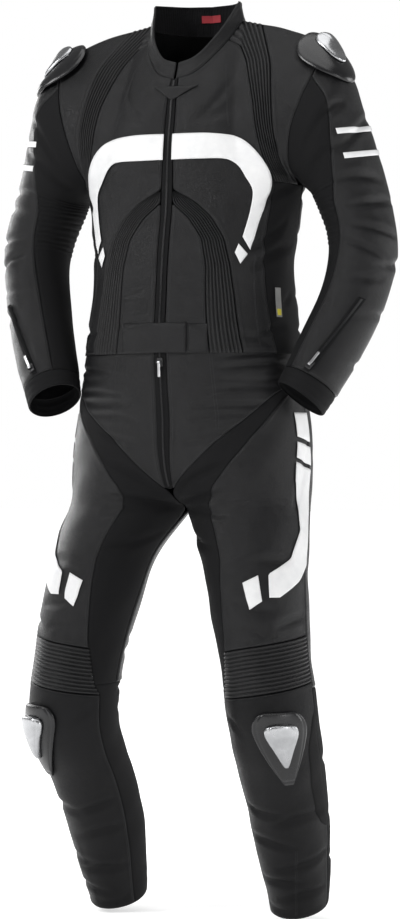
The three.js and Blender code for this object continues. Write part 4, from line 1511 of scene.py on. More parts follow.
@dataclass
class Suit:
    """The whole suit: cloth, overlays, guards and zips."""

    forms: Forms
    cutter: Cutter
    finishes: Finishes
    least_area: float = 0.31
    patch_roll: float = 0.6
    arch_lift: float = 1.7
    belt_lift: float = 0.9
    strap_wall: float = 1.8
    bar_wall: float = 0.9
    bar_end: float = 0.68
    bar_middle: float = 0.335
    bar_tilt: float = 48
    drift: float = -0.05
    drift_start: float = -745
    drift_span: float = 80
    stitches: dict[str, Soup] = field(
        default_factory=lambda: {name: Soup() for name in STITCH_GROUPS.values()}
    )

    def finish(
        self, soup: Soup, name: str, finish: str, nodes: Sequence[str] = (), body: str = "suit",
        smooth: bool = True,
    ) -> bpy.types.Object:
        """Builds a piece, gives it its body, and hides the frame nodes it stands for.

        Args:
            soup: Its corners and faces.
            name: The piece's name.
            finish: Its finish's name.
            nodes: Frame nodes it stands for.
            body: The body it rides on.
            smooth: Whether its faces are shaded smooth.

        Returns:
            The object.
        """
        piece = soup.build(name, self.finishes[finish], smooth)
        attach(piece, body)
        FINISHES[finish].slot.value
        if nodes:
            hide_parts(*nodes)
        LOG.info("%s: %d faces", name, len(piece.data.polygons))
        return piece

    def sheet(self, piece: bpy.types.Object, panels: Sequence[Panel]) -> None:
        """Measures a piece's cut; the measures are not kept.

        Args:
            piece: The piece; not used.
            panels: What it is made of.
        """
        wide, tall = (max(p.flat[i] for p in panels) * MM for i in (0, 1))
        area = sum(p.area for p in panels) * MM * MM
        min(area, wide * tall)

    def cloth(self) -> None:
        """Makes every cut-and-sewn panel."""
        for cut, finish in CUTS:
            for side in (1, -1) if cut.pair else (1,):
                node = cut.name + ("" if not cut.pair else "_left" if side == 1 else "_right")
                panel = self.cutter.panel(cut, side)
                soup = Soup()
                soup.shell(panel.outer, panel.inner, side)
                self.sheet(self.finish(soup, f"{node}_cloth", finish, [node]), [panel])
                if cut.stitched:
                    self.cutter.stitches(cut, side, self.stitches[STITCH_GROUPS[cut.form]])

    def sew(self) -> None:
        """Makes the stitches of each part of the suit."""
        for form, start, end in SEAM_LINES:
            for side in (1, -1):
                self.cutter.line(form, start, end, side, self.stitches[STITCH_GROUPS[form]])
        for name, soup in self.stitches.items():
            self.finish(soup, name, "thread")

    # ------------------------------------------------------------ overlays
    def front_at(self, x: Array, z: Array) -> tuple[Array, Array]:
        """Finds u and v of places seen from the front.

        Args:
            x: Places across, in millimetres.
            z: Heights.

        Returns:
            Their u and v on the jacket's form.
        """
        form = self.forms.jacket
        across = np.abs(x)
        u = np.arcsin(np.clip(across / 200, 0, 0.99)) * 2 / math.pi
        v = z.copy()
        for _ in range(12):
            here = form.point(u, v)
            by_u = (form.point(u + 1e-3, v) - here) * 1e3
            by_v = (form.point(u, v + 0.5) - here) * 2
            ex, ez = across - here[..., 0], z - here[..., 2]
            det = by_u[..., 0] * by_v[..., 2] - by_v[..., 0] * by_u[..., 2]
            u = np.clip(u + (ex * by_v[..., 2] - by_v[..., 0] * ez) / det, -0.05, 1)
            v = np.clip(v + (by_u[..., 0] * ez - ex * by_u[..., 2]) / det, JACKET_HEM, YOKE_TOP)
        return np.where(x < 0, -u, u), v

    def lay(self, form: Form, u: Array, v: Array, lift: float, wall: float, side: int) -> Panel:
        """Makes a patch over a grid of places on a form.

        Args:
            form: The form it lies on.
            u: Grid of places across.
            v: Grid of places along.
            lift: How far it stands off the form.
            wall: Its thickness.
            side: 1 for the wearer's left, -1 for the right.

        Returns:
            Its grids and measures.
        """
        flip = np.array((side, 1, 1))
        points, out = form.point(u, v) * flip, form.normal(u, v) * flip
        rise = lift + self.cutter.relief.at(points)
        along_u = np.linalg.norm(np.diff(points, axis=1), axis=-1).sum(1)
        along_v = np.linalg.norm(np.diff(points, axis=0), axis=-1).sum(0)
        rows, columns = u.shape
        across, up = np.meshgrid(np.linspace(0, 1, columns), np.linspace(0, 1, rows))
        edge = self.cutter.roll_at(across, up, along_u[:, None], along_v[None])
        outer = points + out * (rise + wall - self.patch_roll * edge)[..., None]
        inner = points + out * rise[..., None]
        a = np.cross(points[1:, 1:] - points[:-1, :-1], points[1:, :-1] - points[:-1, 1:])
        area = float(np.linalg.norm(a, axis=-1).sum() / 2)
        if side == -1:
            outer, inner = outer[:, ::-1], inner[:, ::-1]
        return Panel(outer, inner, (float(along_u.max()), float(along_v.max())), area)

    def front_patch(
        self, rows: Sequence[Sequence[tuple[float, float]]], lift: float, wall: float, side: int,
        size: tuple[int, int],
    ) -> Panel:
        """Makes a patch on the front from rows of two places seen from the front.

        Args:
            rows: Rows of two places (x, z).
            lift: How far it stands off the form.
            wall: Its thickness.
            side: 1 for the wearer's left, -1 for the right.
            size: Rows and columns of its grid.

        Returns:
            Its grids and measures.
        """
        starts = Path([(x, 0, z) for (x, z), _ in rows])
        ends = Path([(x, 0, z) for _, (x, z) in rows])
        up = np.linspace(0, 1, size[0])
        across = np.linspace(0, 1, size[1])[None, :, None]
        places = starts.at(up)[:, None] * (1 - across) + ends.at(up)[:, None] * across
        u, v = self.front_at(places[..., 0], places[..., 2])
        return self.lay(self.forms.jacket, u, v, lift, wall, side)

    def patch_piece(self, panels: Sequence[Panel], name: str, finish: str, nodes: Sequence[str] = ()) -> None:
        """Builds one piece from one or more patches and measures its cut, which is not kept.

        Args:
            panels: What it is made of.
            name: The piece's name.
            finish: Its finish's name.
            nodes: Frame nodes it stands for.
        """
        soup = Soup()
        for panel in panels:
            soup.shell(panel.outer, panel.inner)
        piece = self.finish(soup, name, finish, nodes)
        wide = sum(p.flat[0] for p in panels) * MM
        tall = max(p.flat[1] for p in panels) * MM
        area = sum(p.area for p in panels) * MM * MM
        area = min(max(area, self.least_area * wide * tall), wide * tall)

    def overlays(self) -> None:
        """Makes the arch, flap, belt, bands and bars."""
        for side, word in SIDES:
            arch = self.front_patch(ARCH, self.arch_lift, PATCH, side, (110, 12))
            tip = self.front_patch(ARCH_TIP, self.arch_lift, PATCH, side, (14, 8))
            self.patch_piece([arch, tip], f"chest_arch_{word}_cloth", "white_leather", [f"chest_arch_{word}"])
            self.patch_piece(
                [self.band_part(low, high, side) for low, high in BAND_PARTS] + [self.leg_chip(side)],
                f"leg_band_{word}_cloth", "white_leather", [f"leg_band_{word}"],
            )
            self.patch_piece([self.arm_bar(z, side) for z in ARM_BARS], f"arm_bars_{word}", "white_leather")
        for side, word in SIDES:
            panel = self.cutter.panel(CALF_PATCH, side)
            soup = Soup()
            soup.shell(panel.outer, panel.inner, side)
            self.sheet(self.finish(soup, f"calf_patch_{word}", "stretch"), [panel])
        panel = self.front_patch(FLAP, LIFT, PATCH, 1, (12, 24))
        self.patch_piece([panel], "zip_flap_cloth", "leather", ["zip_flap"])
        across, up = np.meshgrid(np.linspace(0.804, 0.861, 10), np.linspace(-444.5, -431, 8))
        mark = self.lay(self.forms.jacket, across, up, LIFT + 0.55, 0.5, 1)
        self.patch_piece([mark], "side_label_mark", "yellow_label")
        strap = tuple(((-68, z), (46, z)) for z in (-504, -492, -480, -468, -456))
        panel = self.front_patch(strap, self.belt_lift, self.strap_wall, 1, (22, 40))
        self.patch_piece([panel], "belt_strap_cloth", "leather", ["belt_strap"])
        tab = tuple(((50, z), (80, z)) for z in (-503, -487, -471, -458))
        panel = self.front_patch(tab, self.belt_lift, PATCH, 1, (22, 16))
        self.patch_piece([panel], "belt_tab_cloth", "leather", ["belt_tab"])

    def band_part(self, low: tuple[float, float], high: tuple[float, float], side: int) -> Panel:
        """Makes one part of the leg band, cut at a slant at each end.

        Args:
            low: Heights of its lower end at each side.
            high: Heights of its upper end at each side.
            side: 1 for the wearer's left, -1 for the right.

        Returns:
            Its grids and measures.
        """
        up, across = np.linspace(0, 1, max(12, int((high[0] - low[0]) / 3.4))), np.linspace(0, 1, 22)
        across, up = np.meshgrid(across, up)
        bottom = low[0] + (low[1] - low[0]) * across
        top = high[0] + (high[1] - high[0]) * across
        v = bottom + (top - bottom) * up
        left, right = Edge(BAND_LEFT, 3).at(v), Edge(BAND_RIGHT, 3).at(v)
        u = left + (right - left) * across + self.band_drift(v, side)
        return self.lay(self.forms.trousers, u, v, LIFT, PATCH, side)

    def band_drift(self, v: Array, side: int) -> Array:
        """Returns how much further forward the right leg's band runs, which hangs a little turned."""
        share = np.clip((self.drift_start - v) / self.drift_span, 0, 1)
        return (self.drift * share * share * (3 - 2 * share)) * (side == -1)

    def leg_chip(self, side: int) -> Panel:
        """Makes the small white piece below the band.

        Args:
            side: 1 for the wearer's left, -1 for the right.

        Returns:
            Its grids and measures.
        """
        across, up = np.meshgrid(np.linspace(0, 1, 10), np.linspace(0, 1, 14))
        corners = np.array(LEG_CHIP)
        low = corners[0] + (corners[1] - corners[0]) * across[..., None]
        high = corners[3] + (corners[2] - corners[3]) * across[..., None]
        place = low + (high - low) * up[..., None]
        u = place[..., 0] + self.band_drift(place[..., 1], side)
        return self.lay(self.forms.trousers, u, place[..., 1], LIFT, PATCH, side)

    def arm_bar(self, middle: tuple[float, float], side: int) -> Panel:
        """Makes a level white bar round the front of an upper arm.

        Args:
            middle: Its height and width.
            side: 1 for the wearer's left, -1 for the right.

        Returns:
            Its grids and measures.
        """
        form = self.forms.sleeve
        start = BAR_START[side]
        across, up = np.meshgrid(np.linspace(start, self.bar_end, 40), np.linspace(0, 1, 6))
        height = middle[0] - middle[1] / 2 + middle[1] * up + self.bar_tilt * (across - self.bar_middle)
        low, high = np.full_like(across, -5.0), np.full_like(across, -0.02)
        for _ in range(26):
            mid = (low + high) / 2
            above = form.point(across, mid)[..., 2] > height
            low, high = np.where(above, low, mid), np.where(above, mid, high)
        return self.lay(form, across, (low + high) / 2, LIFT, self.bar_wall, side)


CALF_PATCH = Cut(
    "calf_patch", "trousers", -1268, -1066,
    [
        (-1268, 0.495), (-1260, 0.455), (-1238, 0.432), (-1190, 0.425), (-1130, 0.442), (-1085, 0.478),
        (-1066, 0.497),
    ],
    0.502, lift=0.15, wall=0.9,
)
ARCH_TIP = (((114.6, -343.5), (122.5, -361.8)), ((119.3, -329), (131.4, -345.8)))
BAND_PARTS = (((-895, -895), (-672, -684)), ((-666, -678), (-644, -652)), ((-637, -645), (-600, -600)))
LEG_CHIP = ((0.283, -914), (0.326, -901), (0.321, -860), (0.272, -872))
SEAM_LINES = (
    ("trousers", (0.139, -494), (0.139, -627)),
    ("jacket", (0.35, -30), (0.41, -140)),
    ("jacket", (0.6, -345), (0.62, -498)),
    ("trousers", (0.33, -1290), (0.3, -1402)),
)
BAR_START = {1: 0.322, -1: 0.28}
ARM_BARS = ((-150, 9), (-189, 9))


# --------------------------------------------------------------------------- guards and zips
def lathe(profile: Sequence[tuple[float, float]], count: int, frame: Matrix) -> tuple[Array, Array]:
    """Turns a closed outline of (radius, height) round the frame's third axis.

    Args:
        profile: The outline.
        count: Steps round.
        frame: Where it stands.

    Returns:
        Corners and quads.
    """
    turn = np.linspace(0, 2 * math.pi, count, endpoint=False)
    shape = np.array(profile)
    rings = np.stack(
        [shape[:, 0] * np.cos(turn)[:, None], shape[:, 0] * np.sin(turn)[:, None], shape[:, 1] + 0 * turn[:, None]],
        -1,
    )
    m = np.array(frame)
    corners = rings.reshape(-1, 3) @ m[:3, :3].T + m[:3, 3]
    steps = len(profile)
    grid = np.arange(count * steps).reshape(count, steps)
    after, beside = np.roll(grid, -1, 0), np.roll(grid, -1, 1)
    both = np.roll(after, -1, 1)
    return corners, np.stack([grid, beside, both, after], -1).reshape(-1, 4)[:, ::-1]


def rounded_box(
    size: tuple[float, float, float], centre: tuple[float, float, float], bevel: float, frame: Matrix,
) -> tuple[Array, Array]:
    """Returns the corners and faces of a box with chamfered edges, in a frame.

    Args:
        size: Its three sizes.
        centre: Its middle in the frame.
        bevel: Width of the chamfers.
        frame: Where it stands.

    Returns:
        Corners and faces.
    """
    half = np.array(size) / 2
    inner = half - bevel
    corners, index = [], {}
    for sx in (-1, 1):
        for sy in (-1, 1):
            for sz in (-1, 1):
                sign = np.array((sx, sy, sz))
                for axis in range(3):
                    p = inner * sign
                    p[axis] = half[axis] * sign[axis]
                    index[(sx, sy, sz, axis)] = len(corners)
                    corners.append(p + centre)
    faces = []
    for axis in range(3):
        b, c = (axis + 1) % 3, (axis + 2) % 3
        for s in (-1, 1):
            loop = []
            for t, w in ((-1, -1), (1, -1), (1, 1), (-1, 1)):
                sign = [0, 0, 0]
                sign[axis], sign[b], sign[c] = s, t, w
                loop.append(index[(*sign, axis)])
            faces.append(loop if s == 1 else loop[::-1])
            for t in (-1, 1):
                ends = []
                for w in (-1, 1):
                    sign = [0, 0, 0]
                    sign[axis], sign[b], sign[c] = s, t, w
                    ends.append((index[(*sign, axis)], index[(*sign, b)]))
                quad = [ends[0][0], ends[0][1], ends[1][1], ends[1][0]]
                faces.append(quad if s * t == 1 else quad[::-1])
    for sx in (-1, 1):
        for sy in (-1, 1):
            for sz in (-1, 1):
                tri = [index[(sx, sy, sz, a)] for a in range(3)]
                tri = tri if sx * sy * sz == 1 else tri[::-1]
                faces.append([*tri, tri[-1]])
    m = np.array(frame)
    return np.array(corners) @ m[:3, :3].T + m[:3, 3], np.array(faces)


@dataclass(frozen=True)
class Guards:
    """Knee sliders and shoulder covers."""

    suit: Suit
    cup_thick: float = 6.0
    slider_thick: float = 11.0
    shoulder_centre: tuple[float, float, float] = (243.0, -14.0, -14.0)
    shoulder_out: tuple[float, float, float] = (0.72, -0.22, 0.66)
    shoulder_along: tuple[float, float, float] = (0.62, -0.1, -0.75)

    def dome(self, outline: EdgeTable, lift: float, side: int, rise: Callable[[Array, Array], Array]) -> Soup:
        """Makes a moulded shape on the knee.

        Args:
            outline: Half width by height.
            lift: How far it stands off the leg.
            side: 1 for the wearer's left.
            rise: Its thickness at shares across and up.

        Returns:
            A closed shell.
        """
        table = sorted(outline)
        z = Path([(0, 0, h) for h, _ in table])
        half = Path([(w, 0, 0) for _, w in table])
        up = (1 - np.cos(np.linspace(0, math.pi, 64))) / 2
        across = (1 - np.cos(np.linspace(0, math.pi, 48))) / 2
        share, height = np.meshgrid(across, up)
        v = z.at(height)[..., 2]
        u = KNEE_TURN + (2 * share - 1) * half.at(height)[..., 0]
        form = self.suit.forms.trousers
        flip = np.array((side, 1, 1))
        points, out = form.point(u, v) * flip, form.normal(u, v) * flip
        inner = points + out * lift
        outer = inner + out * rise(2 * share - 1, height)[..., None]
        soup = Soup()
        soup.shell(outer, inner, side)
        return soup

    def knees(self) -> None:
        """Makes each knee's surround and slider."""

        def cup(s: Array, h: Array) -> Array:
            """Returns the surround's thickness at shares across, from -1 to 1, and up.

            Args:
                s: Shares across, from -1 to 1.
                h: Shares up.

            Returns:
                Thickness in millimetres.
            """
            ring = np.maximum(np.abs(s), np.abs(2 * h - 1))
            crown = 2 + (self.cup_thick - 2) * np.clip((1 - ring**6), 0, 1) ** 0.5
            return crown - 1.0 * np.exp(-(((ring - 0.84) / 0.035) ** 2))

        def slider(s: Array, h: Array) -> Array:
            """Returns the slider's thickness at shares across, from -1 to 1, and up.

            Args:
                s: Shares across, from -1 to 1.
                h: Shares up.

            Returns:
                Thickness in millimetres.
            """
            edge = np.clip(1 - np.abs(s) ** 5, 0, 1) ** 0.5 * np.clip(1 - np.abs(2 * h - 1) ** 7, 0, 1) ** 0.5
            crown = 2 + (self.slider_thick - 2) * edge * (1 - 0.14 * s**2)
            step = 0.9 * np.exp(-(((np.abs(s) - 0.74) / 0.05) ** 2)) * (h < 0.9)
            line = 0.8 * np.exp(-(((h - 0.36 - 0.1 * np.abs(s)) / 0.014) ** 2))
            return crown - (step + line) * edge

        for side, word in SIDES:
            self.suit.finish(
                self.dome(KNEE_CUP, LIFT, side, cup), f"knee_cup_{word}_shell", "moulding",
                [f"knee_cup_{word}"],
            )
            high = self.dome(KNEE_SLIDER, LIFT + self.cup_thick + 0.3, side, slider)
            self.suit.finish(high, f"knee_slider_{word}_shell", "silver", [f"knee_slider_{word}"])

    def axes(self) -> tuple[Array, Array, Array]:
        """Returns the shoulder's axes: along the arm, across it and outward.

        Returns:
            Three unit vectors.
        """
        out = np.array(self.shoulder_out)
        out /= np.linalg.norm(out)
        along = np.array(self.shoulder_along)
        along -= out * (along @ out)
        along /= np.linalg.norm(along)
        return along, np.cross(along, out), out

    def shoulder(
        self, half: float, wide: float, lift: float, shift: float, rise: Callable[[Array, Array], Array]
    ) -> Soup:
        """Makes an oval cover over the wearer's left shoulder.

        Args:
            half: Half its length.
            wide: Half its width.
            lift: How far it stands off the cloth.
            shift: How far its centre is moved along the arm.
            rise: Its thickness at places from -1 to 1 along and across.

        Returns:
            A closed shell.
        """
        e1, e2, e3 = self.axes()
        forms = self.suit.forms
        u, v = np.meshgrid(np.linspace(0.6, 1.4, 90), np.linspace(-130, 14, 60))
        body = forms.jacket.point(u, v).reshape(-1, 3)
        u, v = np.meshgrid(np.linspace(0.2, 0.8, 80), np.linspace(-3, 0, 60))
        cloth = np.vstack([body, forms.sleeve.point(u, v).reshape(-1, 3)]) - self.shoulder_centre
        local = np.stack([cloth @ e1, cloth @ e2, cloth @ e3], -1)
        t = -np.cos(np.linspace(0.06, math.pi - 0.06, 44))
        s = -np.cos(np.linspace(0.0, math.pi, 34))
        t, s = np.meshgrid(t, s, indexing="ij")
        a = shift + t * half
        b = s * wide * np.sqrt(1 - np.abs(t) ** 2.4)
        flat = np.stack([a.ravel(), b.ravel()], -1)
        gap = np.linalg.norm(flat[:, None] - local[None, :, :2], axis=2)
        high = np.where(gap < 9, local[None, :, 2], -60.0).max(1).reshape(a.shape)
        for _ in range(10):
            padded = np.pad(high, 1, mode="edge")
            high = (
                padded[:-2, 1:-1] + padded[2:, 1:-1] + padded[1:-1, :-2] + padded[1:-1, 2:] + 2 * high
            ) / 6
        c = high + lift
        base = self.shoulder_centre + a[..., None] * e1 + b[..., None] * e2 + c[..., None] * e3
        outer = base + rise(t, s)[..., None] * e3
        soup = Soup()
        soup.shell(outer, base)
        facing = np.cross(outer[20, 20] - outer[20, 16], outer[24, 16] - outer[20, 16]) @ e3
        if facing < 0:
            soup.faces = [f[:, ::-1] for f in soup.faces]
        return soup

    def shoulders(self) -> None:
        """Makes each shoulder's cup and plate."""

        def cup(t: Array, s: Array) -> Array:
            """Returns the cup's thickness at places from -1 to 1 along and across.

            Args:
                t: Places along, from -1 to 1.
                s: Shares across, from -1 to 1.

            Returns:
                Thickness in millimetres.
            """
            ring = np.sqrt(np.clip(1 - s**4, 0, 1) * np.clip(1 - t**6, 0, 1))
            bead = 1.0 * np.exp(-(((np.abs(s) - 0.86) / 0.05) ** 2))
            return 1.0 + 7.2 * ring - bead * ring

        def plate(t: Array, s: Array) -> Array:
            """Returns the plate's thickness at places from -1 to 1 along and across."""
            edge = np.sqrt(np.clip(1 - s**6, 0, 1) * np.clip(1 - t**8, 0, 1))
            return 2.0 + 4.0 * edge - 0.6 * np.exp(-((s / 0.06) ** 2)) * edge

        cover = self.shoulder(58, 42, 0.8, 8, cup)
        top = self.shoulder(34, 16, 9.2, 0, plate)
        for word, low, high in (("left", cover, top), ("right", cover.mirrored(), top.mirrored())):
            self.suit.finish(low, f"shoulder_cup_{word}_shell", "moulding", [f"shoulder_cup_{word}"])
            self.suit.finish(high, f"shoulder_plate_{word}_shell", "silver", [f"shoulder_plate_{word}"])


@dataclass(frozen=True)
class Zips:
    """Zips with their teeth, sliders and swinging pull tabs."""

    suit: Suit
    teeth: tuple[float, float, float] = (2.6, 1.15, 1.5)
    tooth_pitch: float = 1.9
    slider: tuple[float, float, float] = (14.0, 9.4, 4.0)
    sunk: float = 1.1
    pin_radius: float = 0.7
    pin_height: float = 2.8
    cheek: tuple[float, float, float] = (5.0, 1.6, 4.6)
    cheek_gap: float = 5.4
    tab_eye: tuple[float, float] = (2.2, 1.15)
    tab_size: tuple[float, float, float] = (24.0, 4.4, 1.5)

    def chain(self, form: Form, u: Array, v: Array, lift: float, soup: Soup) -> None:
        """Adds two rows of meshing teeth along a line of places on a form.

        Args:
            form: The form it lies on.
            u: Places across.
            v: Places along.
            lift: How far it stands off the form.
            soup: What they are added to.
        """
        points = form.point(u, v)
        normals = form.normal(u, v)
        run = np.concatenate([[0], np.linalg.norm(np.diff(points, axis=0), axis=1).cumsum()])
        at = np.arange(0.8, run[-1] - 1.5, self.tooth_pitch / 2)
        centres = np.stack([np.interp(at, run, points[:, k]) for k in range(3)], -1)
        out = np.stack([np.interp(at, run, normals[:, k]) for k in range(3)], -1)
        out /= np.linalg.norm(out, axis=1, keepdims=True)
        ahead = np.stack([np.interp(at + 0.7, run, points[:, k]) for k in range(3)], -1) - centres
        ahead -= out * (ahead * out).sum(1, keepdims=True)
        ahead /= np.linalg.norm(ahead, axis=1, keepdims=True)
        across = np.cross(out, ahead)
        way = np.where(np.arange(len(at)) % 2 == 0, 0.75, -0.75)[:, None]
        rise = lift + self.suit.cutter.relief.at(centres)[:, None]
        soup.blocks(centres + across * way + out * rise, across, out, self.teeth)

    def frame(self, form: Form, u: float, v: float, lift: float, direction: Array) -> Matrix:
        """Returns axes at a place: along the zip, across it and outward.

        Args:
            form: The form it lies on.
            u: Its place across.
            v: Its place along.
            lift: How far it stands off the form.
            direction: Which way the zip runs.

        Returns:
            The axes as a matrix.
        """
        at_u, at_v = np.array([u]), np.array([v])
        du, dv = form.steps
        across = form.raw(at_u + du, at_v) - form.raw(at_u - du, at_v)
        e3 = np.cross(across, form.raw(at_u, at_v + dv) - form.raw(at_u, at_v - dv))[0]
        e3 /= np.linalg.norm(e3)
        e1 = direction - e3 * (direction @ e3)
        e1 /= np.linalg.norm(e1)
        e2 = np.cross(e3, e1)
        place = form.raw(at_u, at_v)[0] + e3 * lift
        m = Matrix.Identity(4)
        for row in range(3):
            m[row][0], m[row][1], m[row][2], m[row][3] = e1[row], e2[row], e3[row], place[row]
        return m

    def slider_soup(self, frame: Matrix) -> Soup:
        """Makes a slider with its cheeks and pin.

        Args:
            frame: Axes at its place.

        Returns:
            The slider.
        """
        soup = Soup()
        long, wide, thick = self.slider
        top = thick - self.sunk
        soup.add(*rounded_box((long, wide, thick), (0, 0, top - thick / 2), 0.7, frame))
        side = self.cheek_gap / 2 + self.cheek[1] / 2
        for y in (-side, side):
            soup.add(*rounded_box(self.cheek, (0, y, top + self.cheek[2] / 2 - 0.1), 0.35, frame))
        pin = frame @ Matrix.Translation((0, 0, top + self.pin_height)) @ Matrix.Rotation(math.pi / 2, 4, "X")
        half = self.cheek_gap / 2 + self.cheek[1]
        soup.add(
            *lathe([(0.01, -half), (self.pin_radius, -half), (self.pin_radius, half), (0.01, half)], 20, pin)
        )
        return soup

    def tab_soup(self, frame: Matrix) -> Soup:
        """Makes a pull tab: an eye round the pin and a bar along the zip.

        Args:
            frame: Axes at its place.

        Returns:
            The tab.
        """
        soup = Soup()
        outer, hole = self.tab_eye
        long, wide, thick = self.tab_size
        height = self.slider[2] - self.sunk + self.pin_height
        turn = frame @ Matrix.Translation((0, 0, height)) @ Matrix.Rotation(math.pi / 2, 4, "X")
        half, b = wide / 2, 0.25
        ring = [
            (hole, -half + b), (hole + b, -half), (outer - b, -half), (outer, -half + b),
            (outer, half - b), (outer - b, half), (hole + b, half), (hole, half - b),
        ]
        soup.add(*lathe(ring, 28, turn))
        start = outer - 0.35
        soup.add(*rounded_box((long - start, wide, thick), ((long + start) / 2, 0, height), 0.35, frame))
        soup.add(*rounded_box((5.0, wide - 0.6, thick + 0.5), (long - 4.0, 0, height), 0.3, frame))
        return soup

    def cuffs(self) -> None:
        """Makes the cuffs' zips."""
        low_v, high_v, low_u, high_u, half = -8.58, -7.0, 0.255, 0.36, 0.017
        form = self.suit.forms.sleeve
        across, up = np.meshgrid(np.linspace(-1, 1, 9), np.linspace(0, 1, 44))
        v = low_v + (high_v - low_v) * up
        middle = low_u + (high_u - low_u) * up
        at = -8.47
        share = low_u + (high_u - low_u) * (at - low_v) / (high_v - low_v)
        here = form.point(np.array([share]), np.array([at]))[0]
        there = form.point(np.array([share + 0.01]), np.array([at + 0.14]))[0]
        frame = self.frame(form, share, at, LIFT + PATCH, there - here)
        for side, word in SIDES:
            panel = self.suit.lay(form, middle + half * across, v, LIFT, PATCH, side)
            tape = Soup()
            tape.shell(panel.outer, panel.inner)
            piece = self.suit.finish(tape, f"cuff_zip_tape_{word}", "tape")
            self.suit.sheet(piece, [panel])
            chain = Soup()
            line = np.linspace(0.1, 0.99, 80)
            self.chain(
                form, low_u + (high_u - low_u) * line, low_v + (high_v - low_v) * line, LIFT + PATCH - 0.2,
                chain,
            )
            chain.extend(self.slider_soup(frame))
            tab = self.tab_soup(frame)
            if side == -1:
                chain, tab = chain.mirrored(), tab.mirrored()
            self.suit.finish(
                chain, f"cuff_zip_{word}_metal", "black_metal", [f"cuff_zip_{word}"], smooth=False,
            )
            self.suit.finish(
                tab, f"cuff_pull_{word}_tab", "steel", [f"cuff_pull_{word}"], body=f"cuff_tab_{word}",
                smooth=False,
            )

    def fly(self) -> None:
        """Makes the fly's zip."""
        form = self.suit.forms.trousers
        frame = self.frame(form, 0.0, -519.0, -0.3, np.array((0.0, 0.0, -1.0)))
        across, up = np.meshgrid(np.linspace(-FLY_SHARE, FLY_SHARE, 13), np.linspace(0, 1, 48))
        v = FLY_END + 0.2 + (WAIST - FLY_END - 0.4) * up
        panel = self.suit.lay(form, across, v, -WALL, WALL, 1)
        tape = Soup()
        tape.shell(panel.outer, panel.inner)
        piece = self.suit.finish(tape, "fly_zip_tape", "tape", ["fly_zip"])
        self.suit.sheet(piece, [panel])
        chain = Soup()
        line = np.linspace(-686, -494, 90)
        self.chain(form, 0 * line, line, -0.3, chain)
        chain.extend(self.slider_soup(frame))
        self.suit.finish(chain, "fly_zip_metal", "black_metal", smooth=False)
        self.suit.finish(
            self.tab_soup(frame), "fly_pull_tab", "steel", ["fly_pull"], body="fly_tab", smooth=False,
        )

    def main(self) -> None:
        """Makes the jacket zip's teeth."""
        chain = Soup()
        line = np.linspace(JACKET_HEM + 2, YOKE_TOP - 2, 240)
        self.chain(self.suit.forms.jacket, 0 * line, line, -0.2, chain)
        self.suit.finish(chain, "main_zip_teeth", "black_metal", smooth=False)


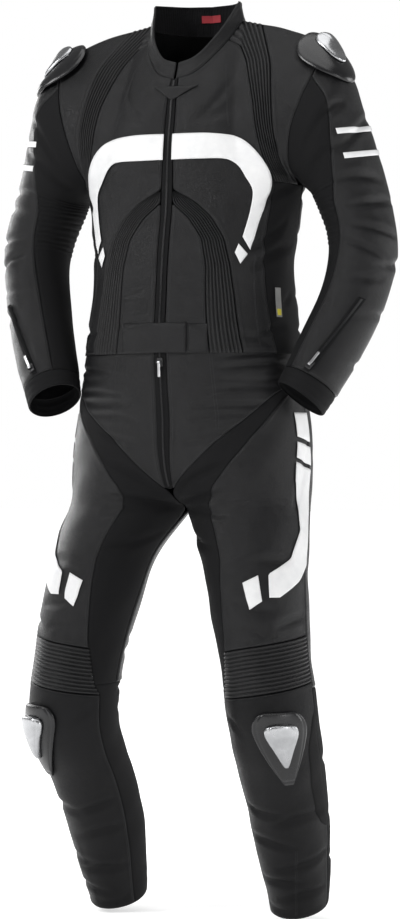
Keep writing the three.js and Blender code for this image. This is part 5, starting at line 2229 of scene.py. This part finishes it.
# --------------------------------------------------------------------------- studio
@dataclass(frozen=True)
class Studio:
    """Floor, light and camera. Sizes in metres."""

    azimuth: float = math.radians(24)
    distance: float = 5.5
    middle: float = -0.676
    aside: float = 0.0066
    frame_height: float = 1.516
    floor: float = -1.432
    lights: tuple[tuple[str, tuple[float, float, float], float, float], ...] = (
        ("key", (-2.4, -2.6, 2.2), 1.5, 88.0),
        ("fill", (3.6, -2.4, 0.6), 1.6, 46.0),
        ("left_rim", (-2.8, 1.4, 0.8), 1.6, 44.0),
        ("right_rim", (2.9, 1.9, 0.6), 1.6, 40.0),
        ("top", (0.0, -0.4, 2.4), 1.8, 22.0),
    )

    def camera(self) -> None:
        """Makes the camera."""
        right = Vector((math.cos(self.azimuth), math.sin(self.azimuth), 0))
        back = Vector((math.sin(self.azimuth), -math.cos(self.azimuth), 0))
        target = Vector((0, 0, self.middle)) + right * self.aside
        data = bpy.data.cameras.new("camera")
        data.sensor_fit = "VERTICAL"
        data.sensor_height = 36
        data.lens = 36 * self.distance / self.frame_height
        data.clip_end = 60
        camera = bpy.data.objects.new("camera", data)
        camera.location = target + back * self.distance
        camera.rotation_euler = (target - camera.location).to_track_quat("-Z", "Y").to_euler()
        bpy.context.scene.collection.objects.link(camera)
        bpy.context.scene.camera = camera

    def light(self) -> None:
        """Makes the soft lights and the pale world."""
        target = Vector((0, 0, self.middle))
        for name, place, size, power in self.lights:
            data = bpy.data.lights.new(name, "AREA")
            data.shape = "SQUARE"
            data.size = size
            data.energy = power
            lamp = bpy.data.objects.new(name, data)
            lamp.location = Vector(place) + Vector((0, 0, self.middle))
            lamp.rotation_euler = (target - lamp.location).to_track_quat("-Z", "Y").to_euler()
            bpy.context.scene.collection.objects.link(lamp)
        world = bpy.data.worlds.new("studio")
        world.use_nodes = True
        n = Nodes(world.node_tree)
        seen = n.add("ShaderNodeLightPath").outputs["Is Camera Ray"]
        strength = n.add("ShaderNodeMapRange", {"Value": seen, "To Min": 0.3, "To Max": 1.0}).outputs[0]
        sky = world.node_tree.nodes["Background"]
        sky.inputs["Color"].default_value = (1, 1, 1, 1)
        world.node_tree.links.new(strength, sky.inputs["Strength"])
        bpy.context.scene.world = world
        bpy.context.scene.view_settings.view_transform = "Standard"

    def ground(self) -> None:
        """Makes the plain pale floor. It glows with painted light, full far off so it fades into the backdrop, and
        half as much near the suit, a painted shade round the feet.
        """
        mesh = bpy.data.meshes.new("floor")
        h = 40.0
        mesh.from_pydata([(-h, -h, 0), (h, -h, 0), (h, h, 0), (-h, h, 0)], [], [(0, 1, 2, 3)])
        material = bpy.data.materials.new("pale_floor")
        material.use_nodes = True
        n = Nodes(material.node_tree)
        shader = material.node_tree.nodes["Principled BSDF"]
        place = n.add("ShaderNodeTexCoord").outputs["Object"]
        cloud = n.add("ShaderNodeTexNoise", {"Vector": place, "Scale": 3.0})
        tone = n.add(
            "ShaderNodeMapRange", {"Value": cloud.outputs[0], "To Min": 0.86, "To Max": 0.9},
        ).outputs[0]
        material.node_tree.links.new(tone, shader.inputs["Base Color"])
        shader.inputs["Roughness"].default_value = 0.9
        shader.inputs["Emission Color"].default_value = (1, 1, 1, 1)
        # Painted light and shade: the floor's glow rises with distance from the point under the suit, from 0.5
        # within half a metre to 1.0 beyond 1.7 m.
        reach = n.add("ShaderNodeVectorMath", {"0": place}, operation="LENGTH").outputs["Value"]
        glow = n.add(
            "ShaderNodeMapRange",
            {"Value": reach, "From Min": 0.5, "From Max": 1.7, "To Min": 0.5, "To Max": 1.0},
        )
        material.node_tree.links.new(glow.outputs[0], shader.inputs["Emission Strength"])
        mesh.materials.append(material)
        floor = bpy.data.objects.new("floor", mesh)
        floor.location.z = self.floor
        bpy.context.scene.collection.objects.link(floor)


def main() -> None:
    """Dresses the frame, lights it and sets the camera."""
    logging.basicConfig(level=logging.INFO, format="%(name)s: %(message)s")
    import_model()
    jacket = JacketForm()
    forms = Forms(jacket, SleeveForm(jacket), TrouserForm(), CollarForm(jacket))
    suit = Suit(forms, Cutter(forms, Relief(forms)), Finishes())
    suit.cloth()
    suit.sew()
    suit.overlays()
    guards = Guards(suit)
    guards.knees()
    guards.shoulders()
    zips = Zips(suit)
    zips.cuffs()
    zips.fly()
    zips.main()
    studio = Studio()
    studio.ground()
    studio.light()
    studio.camera()


if __name__ == "__main__":
    main()
